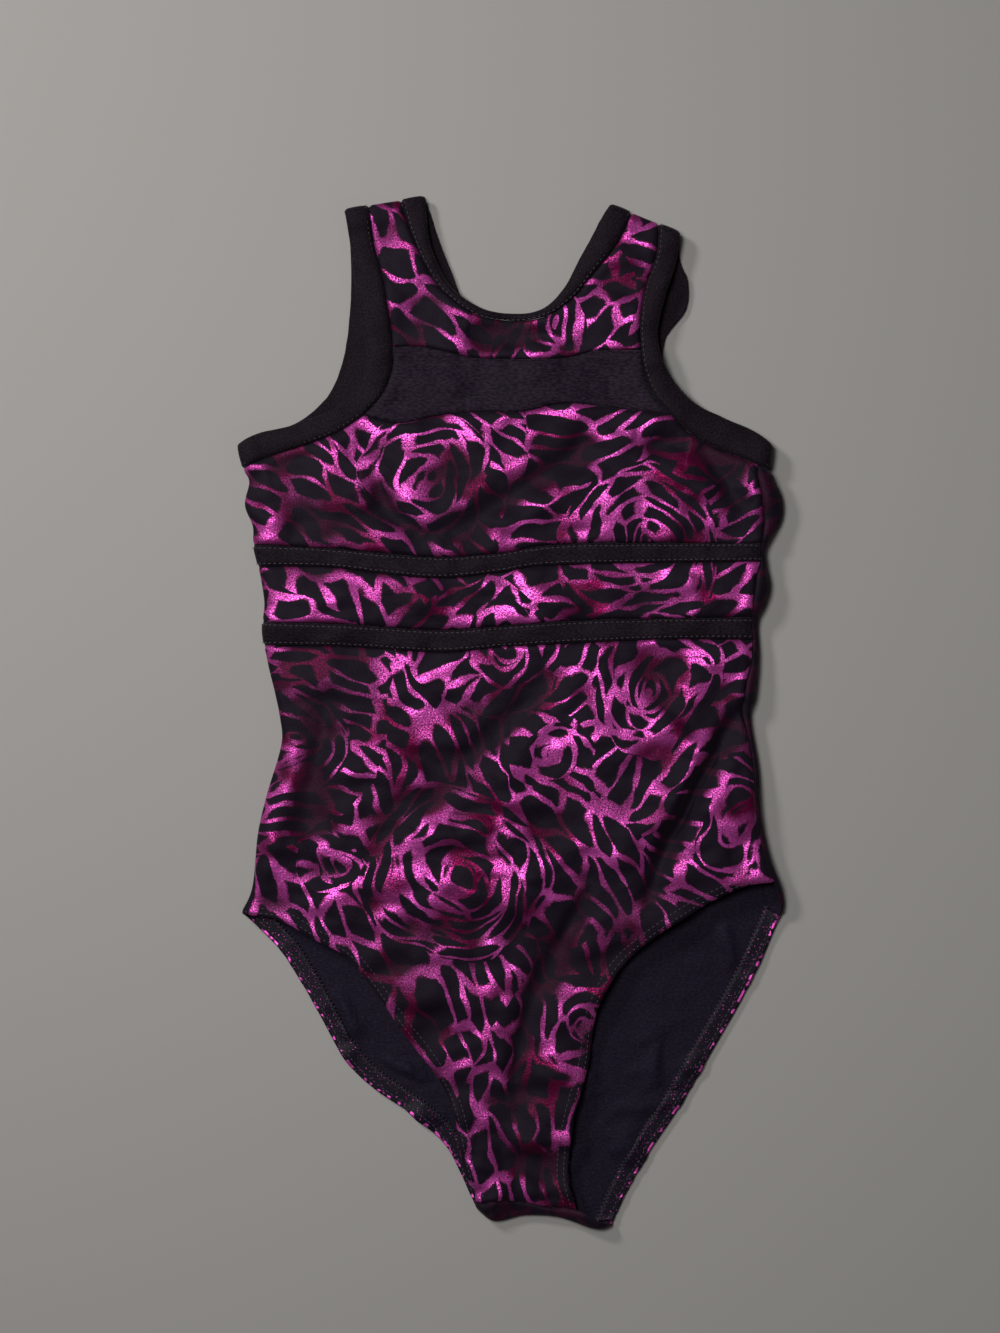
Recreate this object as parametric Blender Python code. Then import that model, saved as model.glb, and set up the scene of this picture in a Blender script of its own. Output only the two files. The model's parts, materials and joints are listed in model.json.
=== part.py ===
"""A child's sleeveless gymnastics leotard, laid flat on its back with its front up.

The garment is one flattened tube of cloth. Its upper skin carries the front pieces and its lower
skin the back, and both meet in a soft roll along the sides, over the shoulders and at the crotch.
Every piece is a wall of cloth whose outer face follows those skins, and neighbours stop short of
each other at the seams. Plan positions are millimetres: x to the right and y to the shoulders.
"""

from collections import namedtuple

import bpy
import numpy as np

# Cloth thicknesses, seams and trims, in millimetres
MM = 0.001
WALL = 1.2
TRIM_WALL = 1.8
TRIM_PROUD = 0.4
HEM_WALL = 1.0
HEM_WIDTH = 10.0
BINDING_WIDTH = 14.0
SEAM_GAP = 0.3

# How far in from a fold the cloth has turned level
SIDE_ROLL = 9.5
SHOULDER_ROLL = 5.0
CROTCH_ROLL = 6.0

# The middle of the finished garment in plan, which becomes the origin
CENTRE_X = 1.0
CENTRE_Y = 0.87
BETWEEN_STRAPS_X = 5.0

# How finely each piece is divided
ROLL_ANGLES = (0, 30, 55, 75)
STRAP_ROWS = 10
STRAP_CELLS = 3
INSERT_ROWS = 4
INSERT_CELLS = 16
UNDERARM_CELLS = 8
BUST_ROWS = 6
BAND_ROWS = 1
MIDRIFF_ROWS = 4
HIP_ROWS = 10
LEG_ROWS = 15
BACK_STRAP_ROWS = 10
BACK_CHEST_CELLS = 8
BACK_UNDERARM_CELLS = 7
BINDING_CELLS = 3
WRAP_SHARES = np.array([0.0, 0.13, 0.43, 1.0])
SLOPE_STEP = 0.05
END_SETTLE = 0.2
ON_A_FOLD = 0.4

# Height of the front above the table, along the garment
Level = namedtuple("Level", "y height")
FRONT_LEVELS = [
    Level(272, 8.5),
    Level(200, 9.0),
    Level(160, 10.5),
    Level(118, 13.5),
    Level(84, 11.8),
    Level(62, 13.0),
    Level(42, 11.5),
    Level(0, 13.0),
    Level(-50, 14.0),
    Level(-90, 13.0),
    Level(-130, 11.0),
    Level(-180, 9.5),
    Level(-230, 8.5),
    Level(-272, 8.0),
]

# Folds where the cloth turns from front to back
SIDE_LEFT = [
    (-142, 141), (-139, 128), (-136, 121), (-138, 109), (-134, 98), (-133.5, 87), (-130, 72),
    (-128, 58), (-129, 43), (-126, 26), (-120, 0), (-119, -16), (-126, -40), (-131, -62),
    (-134, -90), (-140, -104),
]
SIDE_RIGHT = [
    (138, 141), (137, 127), (142.5, 113), (142, 101), (134.5, 87), (134.5, 79), (136.5, 67),
    (134, 57), (130, 48), (130.5, 30), (129, 10), (126, -2), (130, -28), (131.5, -52),
    (136, -74), (142, -90), (144, -103),
]
SHOULDER_LEFT = [(-86, 264), (-43.5, 271)]
SHOULDER_RIGHT = [(53, 267), (90, 252)]
CROTCH_FOLD = [(-18, -257), (-8, -265), (8, -262), (26, -263), (44, -269), (54, -268)]

# The right side seam lies on the front, this far in from the fold
Inset = namedtuple("Inset", "y inset")
RIGHT_SEAM_INSETS = [
    Inset(141, 3.0),
    Inset(125, 8.0),
    Inset(111, 11.0),
    Inset(99, 8.0),
    Inset(88, 3.0),
    Inset(79, 3.0),
    Inset(70, 7.5),
    Inset(60, 7.5),
    Inset(50, 3.5),
    Inset(39, 2.5),
    Inset(28, 3.5),
    Inset(14, 6.0),
    Inset(4, 5.5),
    Inset(-8, 2.5),
    Inset(-25, 2.0),
    Inset(-87, 2.0),
]

# Edges and seams of the front, from the shoulder down
FRONT_ARMHOLE_EDGE_LEFT = [
    (-86, 264), (-83, 248), (-81, 228), (-77, 206), (-74, 186), (-79, 171), (-92, 159),
    (-112, 151), (-130, 147), (-142, 141),
]
FRONT_ARMHOLE_SEAM_LEFT = [(-73, 266.1), (-71, 248), (-66, 228), (-62.5, 208), (-60.5, 192)]
INSERT_SIDE_LEFT = [(-60.5, 192), (-61, 180), (-66, 167), (-75.5, 156)]
BUST_ARMHOLE_LEFT = [(-75.5, 156), (-90, 146.5), (-110, 139), (-126, 134), (-139, 128)]
FRONT_ARMHOLE_EDGE_RIGHT = [
    (90, 252), (88, 238), (82, 218), (78, 200), (80, 186), (87, 173), (98, 162), (112, 155),
    (128, 148), (138, 141),
]
FRONT_ARMHOLE_SEAM_RIGHT = [(78.5, 256.7), (77, 240), (71, 222), (68.5, 205), (69, 190)]
INSERT_SIDE_RIGHT = [(69, 190), (71, 178), (76, 166), (84.5, 156)]
BUST_ARMHOLE_RIGHT = [(84.5, 156), (94, 147), (107, 139), (122, 133.5), (137, 127)]
FRONT_NECK_EDGE = [
    (-43.5, 271), (-42, 252), (-38, 238), (-28, 222), (-14, 212.5), (0, 210), (16, 211.5),
    (28, 222), (38, 240), (53, 267),
]
FRONT_NECK_SEAM = [
    (-56.5, 268.9), (-51, 252), (-44, 236), (-34, 221), (-17, 208.5), (0, 205.5), (17, 207),
    (32, 216), (44, 230), (56, 245), (64.5, 262.3),
]
NECK_SEAM_TURNS = (0.33, 0.66)
INSERT_TOP = [(-60.5, 192), (-45, 192), (-30, 188), (-14, 186), (27, 186), (46, 190), (69, 190)]
INSERT_BOTTOM = [
    (-75.5, 156), (-57, 152), (-36, 156), (-14, 158), (8, 158), (26, 162), (48, 161), (84.5, 156),
]
UPPER_BAND_TOP = [(-150, 89), (-100, 87), (-66, 84), (-36, 82), (-5, 84), (36, 89), (150, 89)]
UPPER_BAND_BOTTOM = [(-150, 77), (-98, 77), (-66, 73.5), (-36, 71), (-5, 74), (28, 78), (150, 80)]
LOWER_BAND_TOP = [(-150, 49), (-88, 47), (-36, 44), (-5, 46), (38, 49), (80, 50), (150, 51)]
LOWER_BAND_BOTTOM = [(-150, 36), (-88, 35.5), (-36, 32.5), (2, 35.5), (80, 39), (150, 39)]
FRONT_LEG_LEFT = [
    (-140, -104), (-120, -107), (-102, -117), (-85, -126), (-74, -139), (-57, -163),
    (-39, -187), (-29, -208), (-24, -234), (-18, -254),
]
FRONT_CROTCH_SEAM = [(-18, -254), (0, -254), (18, -257), (35, -258)]
FRONT_LEG_RIGHT = [
    (122, -90), (100, -101), (78, -115), (58, -133), (46, -156), (42, -183), (34, -212),
    (31, -240), (35, -258),
]

# Edges of the back, which lies a little to the right of the front
BACK_ARMHOLE_EDGE_LEFT = [
    (-86, 264), (-83, 242), (-83, 216), (-86, 190), (-94, 168), (-109, 154), (-127, 147),
    (-142, 141),
]
BACK_ARMHOLE_EDGE_RIGHT = [
    (90, 252), (90, 238), (94, 226), (93, 212), (83, 198), (81, 186), (88, 173), (103, 159),
    (122, 150), (138, 141),
]
BACK_NECK_EDGE = [
    (-43.5, 271), (-37, 250), (-30, 232), (-23, 216), (-10, 206), (4, 203), (18, 207),
    (31, 222), (41, 243), (53, 267),
]
BACK_NECK_TURNS = (0.30, 0.68)
BACK_CHEST_SHARE = 0.63
BACK_LEG_LEFT = [
    (-140, -104), (-127, -116), (-116, -129), (-100, -156), (-86, -181), (-71, -196),
    (-52, -209), (-34, -225), (-25, -241), (-18, -257),
]
BACK_LEG_RIGHT = [
    (144, -103), (136, -121), (124, -146), (108, -174), (90, -205), (74, -229), (61, -252),
    (54, -268),
]
RIGHT_HIP_TURN_Y = -87.0
HIP_ARCH = 24.0
HEM_START_ROW = 1
HEM_END_ROW = -4

# The neck binding turns down on edge where the neckline is lowest
Drop = namedtuple("Drop", "share drop")
NECK_BINDING_DROPS = [
    Drop(0.0, 0.0), Drop(0.22, 0.0), Drop(0.42, 4.2), Drop(0.58, 4.2), Drop(0.80, 0.0),
    Drop(1.0, 0.0),
]

# The large folds of the front: troughs have a negative depth and ridges a positive one
Fold = namedtuple("Fold", "name path width depth")
FOLDS = [
    Fold("hip sweep", [(37, 39), (-5, -13), (-59, -55)], 16, -2.4),
    Fold("hip sweep crest", [(52, 14), (14, -32), (-36, -76)], 14, 1.2),
    Fold("right flank", [(123, 8), (99, -37), (82, -69), (72, -101)], 8, -3.8),
    Fold("right flank crest", [(108, 2), (84, -42), (64, -78)], 9, 1.6),
    Fold("centre drop", [(47, -81), (27, -120), (11, -154), (1, -194)], 9, -3.0),
    Fold("left flank", [(-98, 18), (-104, -20), (-113, -70)], 10, -2.4),
    Fold("left underarm crest", [(-128, 109), (-110, 129), (-85, 139)], 8, 1.8),
    Fold("left underarm pocket", [(-126, 126), (-108, 134), (-92, 143)], 6, -2.4),
    Fold("bust slant", [(42, 153), (32, 135), (-2, 112), (-36, 90)], 9, -3.2),
    Fold("bust left", [(-67, 122), (-64, 104), (-36, 90)], 8, -2.2),
    Fold("bust right pocket", [(64, 144), (78, 141), (94, 138)], 7, -3.0),
    Fold("bust right slant", [(99, 140), (108, 128), (124, 106)], 7, -2.2),
    Fold("neck sag", [(-22, 200), (0, 197), (20, 200)], 8, -2.8),
    Fold("insert left", [(-56, 186), (-38, 182), (-20, 182)], 7, -2.2),
    Fold("insert right", [(26, 183), (44, 181), (58, 172)], 7, -1.4),
    Fold("crotch cross", [(-34, -184), (-12, -180), (8, -186)], 6, -1.8),
    Fold("crotch slant", [(-22, -214), (-2, -222), (12, -232)], 6, -1.6),
]

Colour = namedtuple("Colour", "red green blue roughness metallic")
PRINT_CLOTH = Colour(0.22, 0.02, 0.12, 0.45, 0.25)
PLAIN_CLOTH = Colour(0.010, 0.008, 0.012, 0.70, 0.0)
WRONG_SIDE = Colour(0.022, 0.018, 0.036, 0.75, 0.0)
PLAIN_PIECES = (
    "chest_insert", "upper_band", "lower_band", "neck_binding", "armhole_binding_left",
    "armhole_binding_right",
)


class Curve:
    """A smooth curve through its points, read by its share of length or by one coordinate."""

    STEPS = 10

    def __init__(self, points):
        held = np.array(points, float)
        first = 2 * held[0] - held[1]
        last = 2 * held[-1] - held[-2]
        ends = np.vstack([first, held, last])
        share = np.linspace(0, 1, self.STEPS, endpoint=False)[:, None]
        spans = []
        for before, start, end, after in zip(ends, ends[1:], ends[2:], ends[3:]):
            spans.append(
                0.5 * (2 * start + (end - before) * share
                       + (2 * before - 5 * start + 4 * end - after) * share**2
                       + (3 * start - before - 3 * end + after) * share**3)
            )
        self.dense = np.vstack([*spans, held[-1:]])
        self.measure()

    def measure(self):
        steps = np.linalg.norm(np.diff(self.dense, axis=0), axis=1)
        self.along = np.concatenate([[0.0], np.cumsum(steps)])
        self.length = self.along[-1]

    def at(self, shares):
        """Points at these shares of the whole length."""
        distance = np.asarray(shares, float) * self.length
        return np.stack([np.interp(distance, self.along, self.dense[:, k]) for k in (0, 1)], -1)

    def read(self, known, given, wanted):
        """One coordinate where the other has a known value; flat beyond the ends."""
        order = np.argsort(self.dense[:, given])
        return np.interp(known, self.dense[order, given], self.dense[order, wanted])

    def part(self, start, end):
        """The stretch from one share of the length to another, as a curve of its own."""
        count = max(3, int(abs(end - start) * len(self.dense)))
        return curve_through(self.at(np.linspace(start, end, count)))

    def offset(self, distance, start=None, end=None):
        """The curve moved sideways to its right; each end may be given its own place."""
        ahead = np.gradient(self.dense, axis=0)
        ahead /= np.linalg.norm(ahead, axis=1)[:, None]
        moved = self.dense + distance * np.stack([ahead[:, 1], -ahead[:, 0]], -1)
        share = (self.along / self.length)[:, None]
        if start is not None:
            moved = moved + np.clip(1 - share / END_SETTLE, 0, 1) * (np.array(start) - moved[0])
        if end is not None:
            moved = moved + np.clip(1 - (1 - share) / END_SETTLE, 0, 1) * (np.array(end) - moved[-1])
        return curve_through(moved)


def curve_through(dense):
    """A curve from points that already lie close together."""
    curve = Curve.__new__(Curve)
    curve.dense = dense
    curve.measure()
    return curve


side_left = Curve(SIDE_LEFT)
side_right = Curve(SIDE_RIGHT)
shoulder_left = Curve(SHOULDER_LEFT)
shoulder_right = Curve(SHOULDER_RIGHT)
crotch_fold = Curve(CROTCH_FOLD)
level_curve = Curve(FRONT_LEVELS)
inset_curve = Curve(RIGHT_SEAM_INSETS)
fold_curves = [(Curve(fold.path), fold) for fold in FOLDS]


def roll_share(distance, reach):
    """Squared sine of the cloth's turn at this distance in from a fold."""
    return 1 - np.minimum(distance / reach - 1, 0) ** 2


def turned(x, y):
    """How far the cloth has turned level: 0 on a fold line and 1 away from all of them."""
    left = roll_share(x - side_left.read(y, 1, 0), SIDE_ROLL)
    right = roll_share(side_right.read(y, 1, 0) - x, SIDE_ROLL)
    strap_top = np.where(
        x < BETWEEN_STRAPS_X, shoulder_left.read(x, 0, 1), shoulder_right.read(x, 0, 1)
    )
    over = roll_share(strap_top - y, SHOULDER_ROLL)
    under = roll_share(y - crotch_fold.read(x, 0, 1), CROTCH_ROLL)
    return left * right * over * under


def fold_lift(x, y):
    """What the large folds add to the height of the front."""
    lift = np.zeros_like(x)
    for curve, fold in fold_curves:
        apart = np.hypot(x[..., None] - curve.dense[:, 0], y[..., None] - curve.dense[:, 1])
        nearest = apart.argmin(-1)
        share = curve.along[nearest] / curve.length
        fade = np.sqrt(np.clip(4 * share * (1 - share), 0, 1))
        lift += fold.depth * fade * np.exp(-((apart.min(-1) / fold.width) ** 2))
    return lift


def middle(y):
    """Height of the fold lines, half way between the two layers."""
    return level_curve.read(y, 0, 1) / 2


def reach_up(x, y, side):
    """Height of the level cloth above the fold line, or its depth below for the back."""
    return middle(y) + (fold_lift(x, y) if side > 0 else 0)


def skin_height(x, y, side):
    turn = turned(x, y)
    on_fold = turn < roll_share(ON_A_FOLD, SIDE_ROLL)
    return middle(y) + side * reach_up(x, y, side) * np.sqrt(np.where(on_fold, 0, turn))


def skin_rule(x, y, z, side):
    """Zero on the skin and growing outwards."""
    return ((z - middle(y)) / reach_up(x, y, side)) ** 2 - turned(x, y)


def skin(plan, side):
    """Points on the outer skin above or below plan points, and their outward directions."""
    x, y = plan[..., 0], plan[..., 1]
    z = skin_height(x, y, side)
    h = SLOPE_STEP
    slope = np.stack([
        skin_rule(x + h, y, z, side) - skin_rule(x - h, y, z, side),
        skin_rule(x, y + h, z, side) - skin_rule(x, y - h, z, side),
        skin_rule(x, y, z + h, side) - skin_rule(x, y, z - h, side),
    ], -1)
    return np.stack([x, y, z], -1), slope / np.linalg.norm(slope, axis=-1)[..., None]


class Cloth:
    """An open sheet of faces whose points each know which way is outwards."""

    def __init__(self):
        self.points = []
        self.outward = []
        self.faces = []
        self.known = {}

    def add_point(self, point, outward):
        key = tuple(np.round(point, 2))
        if key not in self.known:
            self.known[key] = len(self.points)
            self.points.append(point)
            self.outward.append(outward)
        return self.known[key]

    def add_grid(self, points, outward):
        """Faces between the points of a grid, all wound so that they face outwards."""
        facing = np.cross(points[:-1, 1:] - points[:-1, :-1], points[1:, :-1] - points[:-1, :-1])
        turn_over = (facing * outward[:-1, :-1]).sum() < 0
        index = [
            [self.add_point(p, n) for p, n in zip(row, directions)]
            for row, directions in zip(points, outward)
        ]
        for upper, lower in zip(index, index[1:]):
            for k in range(len(upper) - 1):
                corners = [upper[k], upper[k + 1], lower[k + 1], lower[k]]
                corners = [c for n, c in enumerate(corners) if c != corners[n - 1]]
                if len(corners) > 2:
                    self.faces.append(corners[::-1] if turn_over else corners)
        return self

    def free_edges(self):
        """Edges with cloth on one side only, each running with its face."""
        seen = {}
        for face in self.faces:
            for a, b in zip(face, face[1:] + face[:1]):
                seen[(a, b)] = (b, a) not in seen
                if not seen[(a, b)]:
                    seen[(b, a)] = False
        return [edge for edge, free in seen.items() if free]

    def drawn_in(self, edges, gap):
        """The points, with those on free edges moved into the cloth by the gap."""
        inward = {}
        for a, b in edges:
            along = self.points[b] - self.points[a]
            for c in (a, b):
                step = np.cross(self.outward[c], along)
                inward.setdefault(c, []).append(step / np.linalg.norm(step))
        moved = [p.copy() for p in self.points]
        for c, steps in inward.items():
            both = sum(steps)
            moved[c] += gap * both * len(steps) / max(both @ both, 1.0)
        return moved

    def wall(self, name, thickness, proud=0.0, sunk=0.0):
        """A closed wall of this thickness, proud of the skin on top or sunk below its inner face."""
        edges = self.free_edges()
        points = self.drawn_in(edges, SEAM_GAP / 2)
        count = len(points)
        raised = [max(n[2], 0.0) * proud - sunk for n in self.outward]
        outer = [p + n * up for p, n, up in zip(points, self.outward, raised)]
        inner = [p + n * (up - thickness) for p, n, up in zip(points, self.outward, raised)]
        faces = [tuple(face) for face in self.faces]
        faces += [tuple(c + count for c in reversed(face)) for face in self.faces]
        faces += [(b, a, a + count, b + count) for a, b in edges]
        shift = np.array([CENTRE_X, CENTRE_Y, 0.0])
        mesh = bpy.data.meshes.new(name)
        mesh.from_pydata([tuple((p - shift) * MM) for p in outer + inner], [], faces)
        mesh.shade_smooth()
        piece = bpy.data.objects.new(name, mesh)
        bpy.context.scene.collection.objects.link(piece)
        return piece


def spaced(length, cells, start_roll=0.0, end_roll=0.0):
    """Shares of a length: even cells, with closer ones where the cloth rolls over a fold."""
    turns = 1 - np.cos(np.radians(ROLL_ANGLES))
    near = start_roll * turns if start_roll else np.array([])
    far = length - end_roll * turns[::-1] if end_roll else np.array([])
    even = np.linspace(start_roll, length - end_roll, cells + 1 - len(near) - len(far))
    return np.concatenate([near, even, far]) / length


def patch(top, bottom, left, right):
    """Plan points between four edges: top and bottom run left to right, the sides run down."""
    across = ((shares_along(top) + shares_along(bottom)) / 2)[None, :, None]
    down = ((shares_along(left) + shares_along(right)) / 2)[:, None, None]
    ruled = (1 - down) * top + down * bottom
    sides = (1 - across) * left[:, None] + across * right[:, None]
    ends = (1 - across) * ((1 - down) * top[0] + down * bottom[0])
    ends = ends + across * ((1 - down) * top[-1] + down * bottom[-1])
    return ruled + sides - ends


def strip(first, second, cells):
    """Plan points between two edges that run side by side."""
    across = np.linspace(0, 1, cells + 1)[None, :, None]
    return (1 - across) * first[:, None] + across * second[:, None]


def run_through(*runs):
    """Points of several runs end to end, without the doubled ones."""
    return np.vstack([runs[0]] + [run[1:] for run in runs[1:]])


def left_side_x(y):
    return side_left.read(y, 1, 0)


def right_fold_x(y):
    return side_right.read(y, 1, 0)


def right_seam_x(y):
    return right_fold_x(y) - inset_curve.read(y, 0, 1)


def meeting(curve, side_x):
    """Where a cross seam meets a side line, found by closing in on it."""
    y = curve.dense[:, 1].mean()
    for _ in range(8):
        y = curve.read(side_x(y), 0, 1)
    return np.array([side_x(y), y])


def down_side(side_x, start, end, rows):
    """Points on a side line between two of its points."""
    y = np.linspace(start[1], end[1], rows + 1)
    return np.stack([side_x(y), y], -1)


def shares_along(points):
    """Each point's share of the way along a run of points."""
    along = np.concatenate([[0.0], np.cumsum(np.linalg.norm(np.diff(points, axis=0), axis=1))])
    return along / along[-1]


# The leg openings; the front's right one starts at the side seam
front_leg_left = Curve(FRONT_LEG_LEFT)
front_leg_right = Curve([(right_seam_x(RIGHT_HIP_TURN_Y), RIGHT_HIP_TURN_Y), *FRONT_LEG_RIGHT])
back_leg_left = Curve(BACK_LEG_LEFT)
back_leg_right = Curve(BACK_LEG_RIGHT)


def strap_points(curve, rows):
    return curve.at(spaced(curve.length, rows, SHOULDER_ROLL))


def underarm_points(curve):
    return curve.at(spaced(curve.length, BACK_UNDERARM_CELLS, 0.0, SIDE_ROLL))


# The seams round the armholes, the insert and the neck, as points that the pieces on both sides share
underarm_left = Curve(BUST_ARMHOLE_LEFT)
underarm_right = Curve(BUST_ARMHOLE_RIGHT)
right_seam_top = meeting(underarm_right, right_seam_x)
to_right_seam = np.interp(
    right_seam_top[0], underarm_right.dense[:, 0], underarm_right.along / underarm_right.length
)
front_strap_left = strap_points(Curve(FRONT_ARMHOLE_SEAM_LEFT), STRAP_ROWS)
front_strap_right = strap_points(Curve(FRONT_ARMHOLE_SEAM_RIGHT), STRAP_ROWS)
insert_left = Curve(INSERT_SIDE_LEFT).at(spaced(1, INSERT_ROWS))
insert_right = Curve(INSERT_SIDE_RIGHT).at(spaced(1, INSERT_ROWS))
insert_top = Curve(INSERT_TOP).at(spaced(1, INSERT_CELLS))
insert_bottom = Curve(INSERT_BOTTOM).at(spaced(1, INSERT_CELLS))
bust_left = underarm_left.at(spaced(underarm_left.length, UNDERARM_CELLS, 0.0, SIDE_ROLL))
bust_right = underarm_right.part(0, to_right_seam).at(spaced(1, UNDERARM_CELLS))
round_right_fold = underarm_right.at(1 + (to_right_seam - 1) * WRAP_SHARES[::-1])

front_armhole_left = run_through(front_strap_left, insert_left, bust_left)
front_armhole_right = run_through(front_strap_right, insert_right, bust_right, round_right_fold)
bust_top = run_through(bust_left[::-1], insert_bottom, bust_right)
front_columns = (bust_top[:, 0] - bust_top[0, 0]) / (bust_top[-1, 0] - bust_top[0, 0])

# The back's binding seams run a binding's width inside its edges
back_neck_edge = Curve(BACK_NECK_EDGE)
back_neck_curve = back_neck_edge.offset(BINDING_WIDTH, FRONT_NECK_SEAM[0], FRONT_NECK_SEAM[-1])
back_armhole_edge_left = Curve(BACK_ARMHOLE_EDGE_LEFT)
back_armhole_edge_right = Curve(BACK_ARMHOLE_EDGE_RIGHT)
back_seam_left = back_armhole_edge_left.offset(
    -BINDING_WIDTH, FRONT_ARMHOLE_SEAM_LEFT[0], BUST_ARMHOLE_LEFT[-1]
)
back_seam_right = back_armhole_edge_right.offset(
    BINDING_WIDTH, FRONT_ARMHOLE_SEAM_RIGHT[0], BUST_ARMHOLE_RIGHT[-1]
)
back_strap_left = strap_points(back_seam_left.part(0, BACK_CHEST_SHARE), BACK_STRAP_ROWS)
back_strap_right = strap_points(back_seam_right.part(0, BACK_CHEST_SHARE), BACK_STRAP_ROWS)
back_under_left = underarm_points(back_seam_left.part(BACK_CHEST_SHARE, 1))
back_under_right = underarm_points(back_seam_right.part(BACK_CHEST_SHARE, 1))
back_chest = Curve([back_strap_left[-1], back_strap_right[-1]]).at(spaced(1, BACK_CHEST_CELLS))


def neck_points(curve, turns, left, middle_seam, right):
    """Points of a neck seam, each level with a point of the seam that runs outside it."""
    first, second = turns
    down = first * shares_along(left)
    across = first + (second - first) * shares_along(middle_seam)
    up = second + (1 - second) * shares_along(right[::-1])
    return curve.at(np.concatenate([down, across[1:], up[1:]]))


front_neck = neck_points(
    Curve(FRONT_NECK_SEAM), NECK_SEAM_TURNS, front_strap_left, insert_top, front_strap_right
)
back_neck = neck_points(
    back_neck_curve, BACK_NECK_TURNS, back_strap_left, back_chest, back_strap_right
)
band_seams = [
    Curve(run) for run in (UPPER_BAND_TOP, UPPER_BAND_BOTTOM, LOWER_BAND_TOP, LOWER_BAND_BOTTOM)
]


def cross_seam(curve):
    """Points along a cross seam of the front, from the left fold to the right side seam."""
    start = meeting(curve, left_side_x)
    end = meeting(curve, right_seam_x)
    x = start[0] + (end[0] - start[0]) * front_columns
    points = np.stack([x, curve.read(x, 0, 1)], -1)
    points[0] = start
    points[-1] = end
    return points


cross_seams = [bust_top, *map(cross_seam, band_seams)]
panel_rows = [BUST_ROWS, BAND_ROWS, MIDRIFF_ROWS, BAND_ROWS, HIP_ROWS]
seam_starts = [seam[0] for seam in cross_seams] + [front_leg_left.dense[0]]
seam_ends = [seam[-1] for seam in cross_seams] + [front_leg_right.dense[0]]
left_runs = [
    down_side(left_side_x, top, bottom, rows)
    for top, bottom, rows in zip(seam_starts, seam_starts[1:], panel_rows)
]
right_runs = [
    down_side(right_seam_x, top, bottom, rows)
    for top, bottom, rows in zip(seam_ends, seam_ends[1:], panel_rows)
]


def front_panel(number, bottom=None):
    """The skin of a front panel below one of the cross seams."""
    below = cross_seams[number + 1] if bottom is None else bottom
    plan = patch(cross_seams[number], below, left_runs[number], right_runs[number])
    return Cloth().add_grid(*skin(plan, +1))


def hip_line(leg_left, leg_right, shares):
    """The line from hip to hip where the mesh changes, arched to leave room for the hems."""
    start, end = leg_left.dense[0], leg_right.dense[0]
    points = start + (end - start) * shares[:, None]
    points[:, 1] += HIP_ARCH * (1 - (2 * shares - 1) ** 4)
    return points


def below_hips(hips, crotch, leg_left, leg_right, side):
    """The skin from the hips to the crotch, and the strips of it beside the two leg edges."""
    down = spaced(leg_left.length, LEG_ROWS, 0.0, CROTCH_ROLL)
    across = np.append(1 - np.cos(np.radians(ROLL_ANGLES)), 1.0)[None, :, None]
    cells = len(ROLL_ANGLES)
    hem_left = leg_left.offset(-HEM_WIDTH, hips[cells], crotch[cells]).at(down)
    hem_right = leg_right.offset(HEM_WIDTH, hips[-1 - cells], crotch[-1 - cells]).at(down)
    edge_left, edge_right = leg_left.at(down), leg_right.at(down)
    strips = [
        (1 - across) * edge[:, None] + across * inner[:, None]
        for edge, inner in ((edge_left, hem_left), (edge_right, hem_right))
    ]
    strips[0][0], strips[1][0] = hips[: cells + 1], hips[: -2 - cells : -1]
    strips[0][-1], strips[1][-1] = crotch[: cells + 1], crotch[: -2 - cells : -1]
    middle_part = patch(hips[cells:-cells], crotch[cells:-cells], hem_left, hem_right)
    grids = [skin(plan, side) for plan in (strips[0], middle_part, strips[1])]
    return grids, (grids[0], grids[2])


def crotch_points(curve, shares):
    """Crotch points whose end cells are as wide as a hem."""
    cells = len(ROLL_ANGLES)
    turns = 1 - np.cos(np.radians(ROLL_ANGLES))
    hem = HEM_WIDTH / curve.length
    inner = (shares[cells:-cells] - shares[cells]) / (shares[-1 - cells] - shares[cells])
    near = hem * turns
    return curve.at(np.concatenate([near, hem + (1 - 2 * hem) * inner, 1 - near[::-1]]))


def make_hem(name, grid, cells):
    """A turned hem: the strip of a panel beside its leg edge, moved to its inner face."""
    points, outward = grid
    rows = slice(HEM_START_ROW, HEM_END_ROW)
    Cloth().add_grid(points[rows, ::cells], outward[rows, ::cells]).wall(
        name, HEM_WALL, sunk=WALL + SEAM_GAP
    )


def make_brief_panel():
    """The lower front: from the lower band to both leg edges and the crotch seam, with its hems."""
    hips = hip_line(front_leg_left, front_leg_right, front_columns)
    sheet = front_panel(len(cross_seams) - 1, hips)
    crotch = crotch_points(Curve(FRONT_CROTCH_SEAM), front_columns)
    grids, hems = below_hips(hips, crotch, front_leg_left, front_leg_right, +1)
    for grid in grids:
        sheet.add_grid(*grid)
    sheet.wall("brief_panel", WALL)
    for name, grid in zip(("front_leg_hem_left", "front_leg_hem_right"), hems):
        make_hem(name, grid, len(ROLL_ANGLES) // 2)


def make_chest_insert():
    plan = patch(insert_top, insert_bottom, insert_left, insert_right)
    Cloth().add_grid(*skin(plan, +1)).wall("chest_insert", WALL)


def make_front_yoke():
    outer = run_through(front_strap_left, insert_top, front_strap_right[::-1])
    Cloth().add_grid(*skin(strip(front_neck, outer, STRAP_CELLS), +1)).wall("front_yoke", WALL)


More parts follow.
